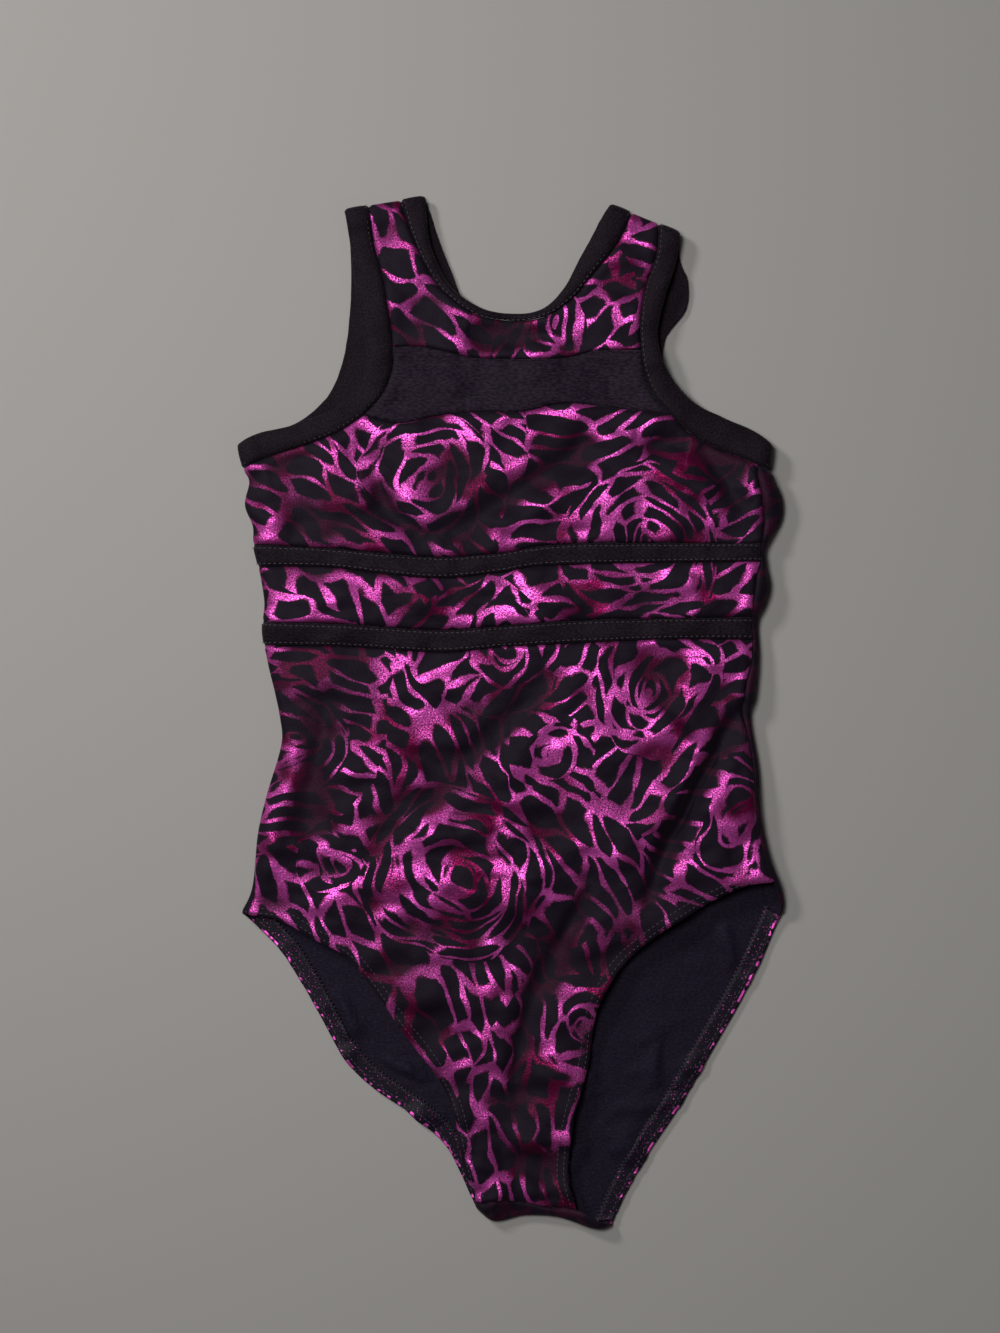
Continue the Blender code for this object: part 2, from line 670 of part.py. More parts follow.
def make_back_panel():
    """The whole back in one sheet, with what comes round the right side and the crotch."""
    outer = run_through(back_strap_left, back_chest, back_strap_right[::-1])
    sheet = Cloth().add_grid(*skin(strip(back_neck, outer, STRAP_CELLS), -1))

    top = run_through(back_under_left[::-1], back_chest, back_under_right)
    left = run_through(*left_runs)
    y = run_through(*right_runs)[:, 1]
    fold_y = np.interp(y, [y[-1], y[0]], [back_leg_right.dense[0, 1], top[-1][1]])
    right = np.stack([right_fold_x(fold_y), fold_y], -1)
    shares = (top[:, 0] - top[0, 0]) / (top[-1, 0] - top[0, 0])
    hips = hip_line(back_leg_left, back_leg_right, shares)
    sheet.add_grid(*skin(patch(top, hips, left, right), -1))

    crotch = crotch_points(crotch_fold, shares)
    grids, hems = below_hips(hips, crotch, back_leg_left, back_leg_right, -1)
    for grid in grids:
        sheet.add_grid(*grid)

    seam = run_through(*right_runs)
    across = WRAP_SHARES[None, :, None]
    around = (1 - across) * right[:, None] + across * seam[:, None]
    around[0] = round_right_fold[::-1]
    sheet.add_grid(*skin(around, +1))

    crotch_seam = Curve(FRONT_CROTCH_SEAM).at(shares_along(crotch))
    up = WRAP_SHARES[:, None, None]
    sheet.add_grid(*skin((1 - up) * crotch[None] + up * crotch_seam[None], +1))
    sheet.wall("back_panel", WALL)
    for name, grid in zip(("back_leg_hem_left", "back_leg_hem_right"), hems):
        make_hem(name, grid, len(ROLL_ANGLES))


def blend_directions(points, outward, weight):
    """Outward directions that lean, by the weight, to those of the ribbon's own shape."""
    facing = np.cross(np.gradient(points, axis=0), np.gradient(points, axis=1))
    facing /= np.linalg.norm(facing, axis=-1)[..., None]
    facing *= np.sign((facing * outward).sum(-1))[..., None]
    leaning = (1 - weight) * outward + weight * facing
    return leaning / np.linalg.norm(leaning, axis=-1)[..., None]


def make_binding(name, front_seam, front_edge, back_seam, back_edge, drops=None):
    """A binding as one closed loop: over the front, round the fold, and along the back."""
    sheet = Cloth()
    for side, seam, edge in ((+1, front_seam, front_edge), (-1, back_seam, back_edge)):
        shares = shares_along(seam)
        points, outward = skin(strip(seam, edge.at(shares), BINDING_CELLS), side)
        if side > 0 and drops:
            share, drop = np.array(drops).T
            fall = np.interp(shares, share, drop)[:, None]
            across = np.linspace(0, 1, BINDING_CELLS + 1)
            points[..., 2] -= fall * across**2
            outward = blend_directions(points, outward, (across * (fall > 0))[..., None])
        sheet.add_grid(points, outward)
    sheet.wall(name, TRIM_WALL, TRIM_PROUD)


def make_bindings():
    make_binding(
        "neck_binding", front_neck, Curve(FRONT_NECK_EDGE), back_neck, back_neck_edge, NECK_BINDING_DROPS
    )
    make_binding(
        "armhole_binding_left", front_armhole_left, Curve(FRONT_ARMHOLE_EDGE_LEFT),
        run_through(back_strap_left, back_under_left), back_armhole_edge_left,
    )
    make_binding(
        "armhole_binding_right", front_armhole_right, Curve(FRONT_ARMHOLE_EDGE_RIGHT),
        run_through(back_strap_right, back_under_right), back_armhole_edge_right,
    )


def make_material(name, colour):
    material = bpy.data.materials.new(name)
    material.use_nodes = True
    surface = material.node_tree.nodes["Principled BSDF"]
    surface.inputs["Base Color"].default_value = (colour.red, colour.green, colour.blue, 1.0)
    surface.inputs["Roughness"].default_value = colour.roughness
    surface.inputs["Metallic"].default_value = colour.metallic
    material.diffuse_color = (colour.red, colour.green, colour.blue, 1.0)
    return material


def main():
    for obj in list(bpy.data.objects):
        bpy.data.objects.remove(obj, do_unlink=True)
    make_front_yoke()
    make_chest_insert()
    front_panel(0).wall("bust_panel", WALL)
    front_panel(1).wall("upper_band", TRIM_WALL, TRIM_PROUD)
    front_panel(2).wall("midriff_panel", WALL)
    front_panel(3).wall("lower_band", TRIM_WALL, TRIM_PROUD)
    make_brief_panel()
    make_back_panel()
    make_bindings()
    for piece in bpy.context.scene.objects:
        if piece.name in PLAIN_PIECES:
            colour = PLAIN_CLOTH
        elif "hem" in piece.name:
            colour = WRONG_SIDE
        else:
            colour = PRINT_CLOTH
        piece.data.materials.append(make_material(piece.name + "_cloth", colour))


main()
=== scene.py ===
"""The looks of a child's sleeveless gymnastics leotard, laid flat with its front up.

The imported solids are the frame. Each of them is replaced by a thin shell of cloth on the same
form, with finer folds, rolled bindings, turned hems and stitching, in the finish of its cloth.
Plan positions are millimetres: x to the right and y to the shoulders.
"""

import json
from collections import namedtuple

import bpy
import numpy as np
from bpy.props import FloatProperty, FloatVectorProperty, PointerProperty
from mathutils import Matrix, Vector
from mathutils.kdtree import KDTree

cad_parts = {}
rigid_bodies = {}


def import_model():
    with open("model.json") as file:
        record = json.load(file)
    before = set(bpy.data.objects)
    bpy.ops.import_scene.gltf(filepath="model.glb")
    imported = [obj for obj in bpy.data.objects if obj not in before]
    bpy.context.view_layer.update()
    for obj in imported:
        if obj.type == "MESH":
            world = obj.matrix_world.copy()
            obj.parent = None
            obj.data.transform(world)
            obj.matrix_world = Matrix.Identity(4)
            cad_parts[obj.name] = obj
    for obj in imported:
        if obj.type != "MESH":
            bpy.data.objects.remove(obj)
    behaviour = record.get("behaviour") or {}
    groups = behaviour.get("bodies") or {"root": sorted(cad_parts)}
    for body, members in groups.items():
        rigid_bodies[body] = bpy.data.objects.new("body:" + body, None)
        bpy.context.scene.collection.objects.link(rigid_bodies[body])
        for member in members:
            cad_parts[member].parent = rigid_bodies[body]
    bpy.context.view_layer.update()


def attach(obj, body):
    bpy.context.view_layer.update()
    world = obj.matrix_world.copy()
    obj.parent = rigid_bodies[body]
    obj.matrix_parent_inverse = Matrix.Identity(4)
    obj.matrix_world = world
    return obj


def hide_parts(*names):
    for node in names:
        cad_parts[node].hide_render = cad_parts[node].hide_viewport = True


for leftover in list(bpy.data.objects):
    bpy.data.objects.remove(leftover)
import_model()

bl_info = {
    "name": "Gymnastics leotard",
    "version": (1, 0, 0),
    "blender": (4, 5, 0),
    "location": "3D View > Sidebar > Leotard",
    "description": "Builds the cloth, trims and stitching of a leotard laid flat",
    "category": "Object",
}

MM = 0.001

# Seams and trims, in millimetres
SEAM_GAP = 0.3
HEM_WIDTH = 10.0
BINDING_WIDTH = 14.0
HEM_SUNK = 1.5
TRIM_PROUD = 0.5

# How far in from a fold the cloth has turned level
SIDE_ROLL = 9.5
SHOULDER_ROLL = 5.0
CROTCH_ROLL = 6.0

# The middle of the finished garment in plan, which is the origin
CENTRE_X = 1.0
CENTRE_Y = 0.87
BETWEEN_STRAPS_X = 5.0

# How finely each piece is divided. A roll's cells begin at these shares of its reach.
ROLL_TURNS = 1 - np.cos(np.radians((0, 12, 24, 36, 48, 60, 70, 80)))
STRAP_ROWS = 52
STRAP_CELLS = 18
INSERT_ROWS = 26
INSERT_CELLS = 110
UNDERARM_CELLS = 50
BUST_ROWS = 50
BAND_ROWS = 10
MIDRIFF_ROWS = 24
HIP_ROWS = 78
LEG_ROWS = 96
BACK_STRAP_ROWS = 50
BACK_CHEST_CELLS = 60
BACK_UNDERARM_CELLS = 44
BINDING_SHARES = np.array([0, 0.05, 0.12, 0.22, 0.34, 0.46, 0.58, 0.70, 0.80, 0.88, 0.94, 0.98, 1.0])
WRAP_SHARES = np.array([0.0, 0.03, 0.08, 0.14, 0.22, 0.32, 0.43, 0.6, 0.8, 1.0])
EDGE_SAMPLES = 4

# How the forms are worked out: the step a slope is taken over, the share of a curve over which
# its end is moved to its own place, the steps to a crossing, how near a fold counts as on it,
# and how far below level the cloth may lie before its roll is smoothed out on the cut
SLOPE_STEP = 0.5
END_SETTLE = 0.2
CLOSING_STEPS = 8
ON_A_FOLD = 0.4
ROLL_BEGINS = 2.0

# How the cloth dips into a seam and stands up beside it
DIP_WIDTH = 1.1
PUFF_FROM_EDGE = 3.4
PUFF_WIDTH = 2.0
CROWN_REACH = 6.5

# How far in from an edge the printed face shows on the inside
FOLD_SHOWS = 1.8

# Rows of stitching, as shares of the width of their strip
BAND_STITCH_SHARES = (0.13, 0.87)
LEG_STITCH_SHARES = (0.22, 0.55)
BINDING_STITCH_SHARE = 0.12
HEM_STITCH_SHARE = 0.3
OVERLOCK_SHARE = 0.88
STITCH_LIFT = 0.1
OVERLOCK_WIDTH = 2.4
OVERLOCK_STEP = 1.1

# What each point of a cloth carries: its place on the cut, and how much painted shade darkens its
# foil. A fold this deep gets the full painted shade, and on the back the painted shade is full where
# its cloth stands on edge or faces up, and gone once it has turned down this far.
CUT = "cut_place"
PAINTED_SHADE_LAYER = "painted_shade"
DEEP_FOLD = 3.0
BACK_SHADE_FADES = 0.6

# Height of the front above the table, along the garment
Level = namedtuple("Level", "y height")
FRONT_LEVELS = [
    Level(272, 8.5),
    Level(200, 9.0),
    Level(160, 10.5),
    Level(118, 13.5),
    Level(84, 11.8),
    Level(62, 13.0),
    Level(42, 11.5),
    Level(0, 13.0),
    Level(-50, 14.0),
    Level(-90, 13.0),
    Level(-130, 11.0),
    Level(-180, 9.5),
    Level(-230, 8.5),
    Level(-272, 8.0),
]

# Folds where the cloth turns from front to back
SIDE_LEFT = [
    (-142, 141), (-139, 128), (-136, 121), (-138, 109), (-134, 98), (-133.5, 87), (-130, 72),
    (-128, 58), (-129, 43), (-126, 26), (-120, 0), (-119, -16), (-126, -40), (-131, -62),
    (-134, -90), (-140, -104),
]
SIDE_RIGHT = [
    (138, 141), (137, 127), (142.5, 113), (142, 101), (134.5, 87), (134.5, 79), (136.5, 67),
    (134, 57), (130, 48), (130.5, 30), (129, 10), (126, -2), (130, -28), (131.5, -52),
    (136, -74), (142, -90), (144, -103),
]
SHOULDER_LEFT = [(-86, 264), (-43.5, 271)]
SHOULDER_RIGHT = [(53, 267), (90, 252)]
CROTCH_FOLD = [(-18, -257), (-8, -265), (8, -262), (26, -263), (44, -269), (54, -268)]

# The right side seam lies on the front, this far in from the fold
Inset = namedtuple("Inset", "y inset")
RIGHT_SEAM_INSETS = [
    Inset(141, 3.0),
    Inset(125, 8.0),
    Inset(111, 11.0),
    Inset(99, 8.0),
    Inset(88, 3.0),
    Inset(79, 3.0),
    Inset(70, 7.5),
    Inset(60, 7.5),
    Inset(50, 3.5),
    Inset(39, 2.5),
    Inset(28, 3.5),
    Inset(14, 6.0),
    Inset(4, 5.5),
    Inset(-8, 2.5),
    Inset(-25, 2.0),
    Inset(-87, 2.0),
]

# Edges and seams of the front, from the shoulder down
FRONT_ARMHOLE_EDGE_LEFT = [
    (-86, 264), (-83, 248), (-81, 228), (-77, 206), (-74, 186), (-79, 171), (-92, 159),
    (-112, 151), (-130, 147), (-142, 141),
]
FRONT_ARMHOLE_SEAM_LEFT = [(-73, 266.1), (-71, 248), (-66, 228), (-62.5, 208), (-60.5, 192)]
INSERT_SIDE_LEFT = [(-60.5, 192), (-61, 180), (-66, 167), (-75.5, 156)]
BUST_ARMHOLE_LEFT = [(-75.5, 156), (-90, 146.5), (-110, 139), (-126, 134), (-139, 128)]
FRONT_ARMHOLE_EDGE_RIGHT = [
    (90, 252), (88, 238), (82, 218), (78, 200), (80, 186), (87, 173), (98, 162), (112, 155),
    (128, 148), (138, 141),
]
FRONT_ARMHOLE_SEAM_RIGHT = [(78.5, 256.7), (77, 240), (71, 222), (68.5, 205), (69, 190)]
INSERT_SIDE_RIGHT = [(69, 190), (71, 178), (76, 166), (84.5, 156)]
BUST_ARMHOLE_RIGHT = [(84.5, 156), (94, 147), (107, 139), (122, 133.5), (137, 127)]
FRONT_NECK_EDGE = [
    (-43.5, 271), (-42, 252), (-38, 238), (-28, 222), (-14, 212.5), (0, 210), (16, 211.5),
    (28, 222), (38, 240), (53, 267),
]
FRONT_NECK_SEAM = [
    (-56.5, 268.9), (-51, 252), (-44, 236), (-34, 221), (-17, 208.5), (0, 205.5), (17, 207),
    (32, 216), (44, 230), (56, 245), (64.5, 262.3),
]
NECK_SEAM_TURNS = (0.33, 0.66)
INSERT_TOP = [(-60.5, 192), (-45, 192), (-30, 188), (-14, 186), (27, 186), (46, 190), (69, 190)]
INSERT_BOTTOM = [
    (-75.5, 156), (-57, 152), (-36, 156), (-14, 158), (8, 158), (26, 162), (48, 161), (84.5, 156),
]
UPPER_BAND_TOP = [(-150, 89), (-100, 87), (-66, 84), (-36, 82), (-5, 84), (36, 89), (150, 89)]
UPPER_BAND_BOTTOM = [(-150, 77), (-98, 77), (-66, 73.5), (-36, 71), (-5, 74), (28, 78), (150, 80)]
LOWER_BAND_TOP = [(-150, 49), (-88, 47), (-36, 44), (-5, 46), (38, 49), (80, 50), (150, 51)]
LOWER_BAND_BOTTOM = [(-150, 36), (-88, 35.5), (-36, 32.5), (2, 35.5), (80, 39), (150, 39)]
FRONT_LEG_LEFT = [
    (-140, -104), (-120, -107), (-102, -117), (-85, -126), (-74, -139), (-57, -163),
    (-39, -187), (-29, -208), (-24, -234), (-18, -254),
]
FRONT_CROTCH_SEAM = [(-18, -254), (0, -254), (18, -257), (35, -258)]
FRONT_LEG_RIGHT = [
    (122, -90), (100, -101), (78, -115), (58, -133), (46, -156), (42, -183), (34, -212),
    (31, -240), (35, -258),
]

# Edges of the back, which lies a little to the right of the front
BACK_ARMHOLE_EDGE_LEFT = [
    (-86, 264), (-83, 242), (-83, 216), (-86, 190), (-94, 168), (-109, 154), (-127, 147),
    (-142, 141),
]
BACK_ARMHOLE_EDGE_RIGHT = [
    (90, 252), (90, 238), (94, 226), (93, 212), (83, 198), (81, 186), (88, 173), (103, 159),
    (122, 150), (138, 141),
]
BACK_NECK_EDGE = [
    (-43.5, 271), (-37, 250), (-30, 232), (-23, 216), (-10, 206), (4, 203), (18, 207),
    (31, 222), (41, 243), (53, 267),
]
BACK_NECK_TURNS = (0.30, 0.68)
BACK_CHEST_SHARE = 0.63
BACK_LEG_LEFT = [
    (-140, -104), (-127, -116), (-116, -129), (-100, -156), (-86, -181), (-71, -196),
    (-52, -209), (-34, -225), (-25, -241), (-18, -257),
]
BACK_LEG_RIGHT = [
    (144, -103), (136, -121), (124, -146), (108, -174), (90, -205), (74, -229), (61, -252),
    (54, -268),
]
RIGHT_HIP_TURN_Y = -87.0
HIP_ARCH = 24.0
HEM_START_ROW = 1
HEM_END_ROW = -4

# The neck binding turns down on edge where the neckline is lowest
Drop = namedtuple("Drop", "share drop")
NECK_BINDING_DROPS = [
    Drop(0.0, 0.0), Drop(0.22, 0.0), Drop(0.42, 4.2), Drop(0.58, 4.2), Drop(0.80, 0.0),
    Drop(1.0, 0.0),
]

# The large folds of the front: troughs have a negative depth and ridges a positive one
Fold = namedtuple("Fold", "name path width depth")
FOLDS = [
    Fold("hip sweep", [(37, 39), (-5, -13), (-59, -55)], 16, -2.4),
    Fold("hip sweep crest", [(52, 14), (14, -32), (-36, -76)], 14, 1.2),
    Fold("right flank", [(123, 8), (99, -37), (82, -69), (72, -101)], 8, -3.8),
    Fold("right flank crest", [(108, 2), (84, -42), (64, -78)], 9, 1.6),
    Fold("centre drop", [(47, -81), (27, -120), (11, -154), (1, -194)], 9, -3.0),
    Fold("left flank", [(-98, 18), (-104, -20), (-113, -70)], 10, -2.4),
    Fold("left underarm crest", [(-128, 109), (-110, 129), (-85, 139)], 8, 1.8),
    Fold("left underarm pocket", [(-126, 126), (-108, 134), (-92, 143)], 6, -2.4),
    Fold("bust slant", [(42, 153), (32, 135), (-2, 112), (-36, 90)], 9, -3.2),
    Fold("bust left", [(-67, 122), (-64, 104), (-36, 90)], 8, -2.2),
    Fold("bust right pocket", [(64, 144), (78, 141), (94, 138)], 7, -3.0),
    Fold("bust right slant", [(99, 140), (108, 128), (124, 106)], 7, -2.2),
    Fold("neck sag", [(-22, 200), (0, 197), (20, 200)], 8, -2.8),
    Fold("insert left", [(-56, 186), (-38, 182), (-20, 182)], 7, -2.2),
    Fold("insert right", [(26, 183), (44, 181), (58, 172)], 7, -1.4),
    Fold("crotch cross", [(-34, -184), (-12, -180), (8, -186)], 6, -1.8),
    Fold("crotch slant", [(-22, -214), (-2, -222), (12, -232)], 6, -1.6),
    Fold("crotch slant end", [(12, -232), (18, -240), (22, -248)], 5, -0.6),
]

# Narrower creases and ripples that only the cloth shell carries
FINE_FOLDS = [
    Fold(
        "right flank pleat",
        [(124, 8), (110, -16), (99, -37), (90, -55), (81, -72), (71, -103)], 3.6, -3.8,
    ),
    Fold("right flank lip", [(116, 8), (91, -36), (73, -72)], 4.5, 2.6),
    Fold("right flank back", [(130, -4), (106, -44), (88, -84)], 4.5, 0.9),
    Fold("centre drop pleat", [(45, -84), (27, -120), (12, -152), (2, -192)], 4.2, -3.4),
    Fold("hip hollow", [(22, 22), (-2, -6), (-24, -22), (-44, -30)], 6, -3.2),
    Fold("hip ripple", [(40, 20), (16, -8), (-8, -34)], 6, 2.2),
    Fold("hip ripple low", [(30, -22), (2, -42), (-30, -58)], 6, -2.6),
    Fold("left flank crease", [(-92, 16), (-99, -22), (-108, -66)], 5, -2.4),
    Fold("left flank crest", [(-106, 8), (-112, -28), (-121, -74)], 4, 0.8),
    Fold("bust slant crease", [(40, 151), (31, 134), (0, 113), (-32, 92)], 4.6, -2.4),
    Fold("bust slant crest", [(54, 148), (42, 126), (14, 106), (-12, 92)], 5.5, 1.6),
    Fold("bust left crease", [(-72, 132), (-66, 112), (-46, 92)], 4.6, -2.2),
    Fold("midriff sag", [(-40, 68), (-20, 60), (4, 52)], 5, -1.2),
    Fold("midriff sag right", [(52, 72), (74, 66), (92, 54)], 5, -0.9),
    Fold("neck crease", [(-24, 199), (0, 195), (22, 199)], 3.4, -1.3),
    Fold("crotch pocket", [(-27.9, -166.1), (-23.2, -167.2), (-18.0, -169.3)], 5, -1.2),
    Fold("crotch ridge", [(-33.1, -182.8), (-14.9, -178.6), (5.9, -185.9)], 4, 0.9),
    Fold("crotch vee", [(-12.8, -202.5), (-6.6, -206.7), (-0.4, -203.6)], 4, -1.0),
    Fold("crotch diagonal", [(-20.1, -216.1), (-6.6, -220.2), (5.9, -226.5)], 4, -1.0),
    Fold("crotch diagonal low", [(-4.5, -226.5), (6.9, -230.6), (16.3, -236.9)], 4, -0.9),
    Fold("ripple", [(-18.0, -91.3), (-16.0, -114.7), (-19.1, -140.7)], 4, -0.8),
    Fold("insert nick", [(-55.5, 172.9), (-53.9, 167.7), (-51.8, 162.5)], 3, -1.2),
    Fold("insert left low", [(-53.9, 179.1), (-37.8, 184.3), (-21.2, 186.4)], 4, -1.0),
    Fold("insert right top", [(26.7, 183.3), (39.7, 182.8), (52.7, 179.7)], 4, -1.0),
    Fold("insert right low", [(50.6, 173.9), (53.7, 168.7), (52.7, 162.5)], 4, -0.9),
    Fold("bust right", [(70.4, 138.6), (79.7, 141.7), (89.1, 142.7)], 4, -1.2),
    Fold("bust far right", [(99.5, 140.1), (107.8, 128.2), (116.1, 114.7), (124.4, 106.3)], 4, -1.4),
    Fold("flank end", [(125.5, -64.2), (119.2, -69.4), (113.0, -72.5)], 4, -1.2),
]

# Ridges of the back that show inside the leg openings
BACK_FOLDS = [
    Fold("inside left", [(-95.0, -146.4), (-87.7, -149.5), (-82.5, -160.9), (-82.5, -169.3)], 3.4, 2.8),
    Fold("inside left low", [(-65.9, -180.7), (-57.6, -184.3), (-49.2, -186.4)], 3.0, 2.4),
    Fold("inside left lower", [(-56.5, -183.8), (-48.2, -188.0), (-40.9, -191.1)], 3.0, 2.2),
    Fold("inside right", [(112.0, -110.0), (115.1, -122.5), (116.1, -134.9)], 3.4, 2.8),
    Fold("inside right low", [(78.7, -171.3), (76.1, -185.9), (77.6, -195.3)], 3.4, 2.6),
]

# Small uneven wrinkles between the folds: size, depth and the seed of their random draw
WRINKLES = [(26.0, 0.95, 10), (13.0, 0.50, 11), (6.0, 0.12, 12)]
WRINKLE_STRETCH = 1.5
BACK_WRINKLES = [(16.0, 0.40, 20), (8.0, 0.18, 21)]

# The front's deepest trough stays this far above the mirror of its height below the fold lines
LAYERS_APART = 5.0

# The cloth is crumpled more towards the crotch
CRUMPLE_HEIGHTS = (-235, -150)
CRUMPLE_GAINS = (2.3, 1.0)

# Places where painted shade darkens the foil of the front
ShadePatch = namedtuple("ShadePatch", "x y radius share")
SHADED_PLACES = [
    ShadePatch(-91, 10, 28, 0.75),
    ShadePatch(-55, -133, 22, 0.6),
    ShadePatch(59, -112, 24, 0.75),
    ShadePatch(9, -223, 30, 0.5),
    ShadePatch(84, -58, 16, 0.5),
    ShadePatch(-88, 102, 22, 0.55),
    ShadePatch(-26, 99, 18, 0.55),
    ShadePatch(117, 135, 16, 0.7),
    ShadePatch(-41, 209, 14, 0.6),
    ShadePatch(-5, 215, 12, 0.5),
    ShadePatch(-56, 58, 16, 0.4),
]


def distances(points):
    """Each point's distance along a run of points."""
    return np.concatenate([[0.0], np.cumsum(np.linalg.norm(np.diff(points, axis=0), axis=1))])


class Curve:
    """A smooth curve through its points, read by its share of length or by one coordinate."""

    STEPS = 24

    def __init__(self, points):
        held = np.array(points, float)
        first = 2 * held[0] - held[1]
        last = 2 * held[-1] - held[-2]
        ends = np.vstack([first, held, last])
        share = np.linspace(0, 1, self.STEPS, endpoint=False)[:, None]
        spans = []
        for before, start, end, after in zip(ends, ends[1:], ends[2:], ends[3:]):
            spans.append(
                0.5 * (2 * start + (end - before) * share
                       + (2 * before - 5 * start + 4 * end - after) * share**2
                       + (3 * start - before - 3 * end + after) * share**3)
            )
        self.dense = np.vstack([*spans, held[-1:]])
        self.measure()

    def measure(self):
        self.along = distances(self.dense)
        self.length = self.along[-1]

    def at(self, shares):
        """Points at these shares of the whole length."""
        distance = np.asarray(shares, float) * self.length
        return np.stack([np.interp(distance, self.along, self.dense[:, k]) for k in (0, 1)], -1)

    def read(self, known, given, wanted):
        """One coordinate where the other has a known value; flat beyond the ends."""
        order = np.argsort(self.dense[:, given])
        return np.interp(known, self.dense[order, given], self.dense[order, wanted])

    def part(self, start, end):
        """The stretch from one share of the length to another, as a curve of its own."""
        count = max(3, int(abs(end - start) * len(self.dense)))
        return curve_through(self.at(np.linspace(start, end, count)))

    def offset(self, distance, start=None, end=None):
        """The curve moved sideways to its right; each end may be given its own place."""
        ahead = np.gradient(self.dense, axis=0)
        ahead /= np.linalg.norm(ahead, axis=1)[:, None]
        moved = self.dense + distance * np.stack([ahead[:, 1], -ahead[:, 0]], -1)
        share = (self.along / self.length)[:, None]
        if start is not None:
            moved = moved + np.clip(1 - share / END_SETTLE, 0, 1) * (np.array(start) - moved[0])
        if end is not None:
            moved = moved + np.clip(1 - (1 - share) / END_SETTLE, 0, 1) * (np.array(end) - moved[-1])
        return curve_through(moved)


def curve_through(dense):
    """A curve from points that already lie close together."""
    curve = Curve.__new__(Curve)
    curve.dense = dense
    curve.measure()
    return curve


side_left = Curve(SIDE_LEFT)
side_right = Curve(SIDE_RIGHT)
shoulder_left = Curve(SHOULDER_LEFT)
shoulder_right = Curve(SHOULDER_RIGHT)
crotch_fold = Curve(CROTCH_FOLD)
level_curve = Curve(FRONT_LEVELS)
inset_curve = Curve(RIGHT_SEAM_INSETS)


def roll_share(distance, reach):
    """Squared sine of the cloth's turn at this distance in from a fold."""
    return 1 - np.minimum(distance / reach - 1, 0) ** 2


def turned(x, y):
    """How far the cloth has turned level: 0 on a fold line and 1 away from all of them."""
    left = roll_share(x - side_left.read(y, 1, 0), SIDE_ROLL)
    right = roll_share(side_right.read(y, 1, 0) - x, SIDE_ROLL)
    strap_top = np.where(x < BETWEEN_STRAPS_X, shoulder_left.read(x, 0, 1), shoulder_right.read(x, 0, 1))
    over = roll_share(strap_top - y, SHOULDER_ROLL)
    under = roll_share(y - crotch_fold.read(x, 0, 1), CROTCH_ROLL)
    return left * right * over * under


class Relief:
    """Heights that folds and small wrinkles add to a skin, held on a fine grid and read between."""

    STEP = 0.8
    REACH = 2.5

    def __init__(self, folds, wrinkles=()):
        self.x = np.arange(-158, 158, self.STEP)
        self.y = np.arange(-284, 288, self.STEP)
        self.height = np.zeros((len(self.y), len(self.x)))
        for fold in folds:
            self.add_fold(fold)
        for size, depth, seed in wrinkles:
            self.add_wrinkles(size, depth, seed)

    def add_fold(self, fold):
        curve = Curve(fold.path)
        reach = self.REACH * fold.width
        low = curve.dense.min(0) - reach
        high = curve.dense.max(0) + reach
        columns = slice(*np.searchsorted(self.x, (low[0], high[0])))
        rows = slice(*np.searchsorted(self.y, (low[1], high[1])))
        x, y = np.meshgrid(self.x[columns], self.y[rows])
        apart = np.hypot(x[..., None] - curve.dense[:, 0], y[..., None] - curve.dense[:, 1])
        share = (curve.along / curve.length)[apart.argmin(-1)]
        fade = np.sqrt(np.clip(4 * share * (1 - share), 0, 1))
        self.height[rows, columns] += fold.depth * fade * np.exp(-((apart.min(-1) / fold.width) ** 2))

    def add_wrinkles(self, size, depth, seed):
        """Soft uneven wrinkles about this size across."""
        noise = np.random.default_rng(seed).standard_normal(self.height.shape)
        waves_y = np.fft.fftfreq(len(self.y), self.STEP)[:, None]
        waves_x = np.fft.rfftfreq(len(self.x), self.STEP)[None, :]
        keep = np.exp(-((np.hypot(waves_x * WRINKLE_STRETCH, waves_y) * size) ** 2))
        smooth = np.fft.irfft2(np.fft.rfft2(noise) * keep, self.height.shape)
        gain = np.interp(self.y, CRUMPLE_HEIGHTS, CRUMPLE_GAINS)[:, None]
        self.height += gain * depth * smooth / smooth.std()

    def read(self, x, y):
        across = np.clip((x - self.x[0]) / self.STEP, 0, len(self.x) - 1.001)
        up = np.clip((y - self.y[0]) / self.STEP, 0, len(self.y) - 1.001)
        column, row = across.astype(int), up.astype(int)
        a, b = across - column, up - row
        lower = self.height[row, column] * (1 - a) + self.height[row, column + 1] * a
        upper = self.height[row + 1, column] * (1 - a) + self.height[row + 1, column + 1] * a
        return lower * (1 - b) + upper * b


front_relief = Relief([*FOLDS, *FINE_FOLDS], WRINKLES)
back_relief = Relief(BACK_FOLDS, BACK_WRINKLES)


def middle(y):
    """Height of the fold lines, half way between the two layers."""
    return level_curve.read(y, 0, 1) / 2


def reach_up(x, y, side):
    """Height of the level cloth above the fold line, or its depth below for the back."""
    if side < 0:
        return middle(y) - np.maximum(back_relief.read(x, y), 0)
    lift = front_relief.read(x, y)
    deepest = 2 * middle(y) - LAYERS_APART
    return middle(y) + np.where(lift < 0, -deepest * np.tanh(-lift / deepest), lift)


def skin_height(x, y, side):
    turn = turned(x, y)
    on_fold = turn < roll_share(ON_A_FOLD, SIDE_ROLL)
    return middle(y) + side * reach_up(x, y, side) * np.sqrt(np.where(on_fold, 0, turn))


def skin_rule(x, y, z, side):
    """Zero on the skin and growing outwards."""
    return ((z - middle(y)) / reach_up(x, y, side)) ** 2 - turned(x, y)


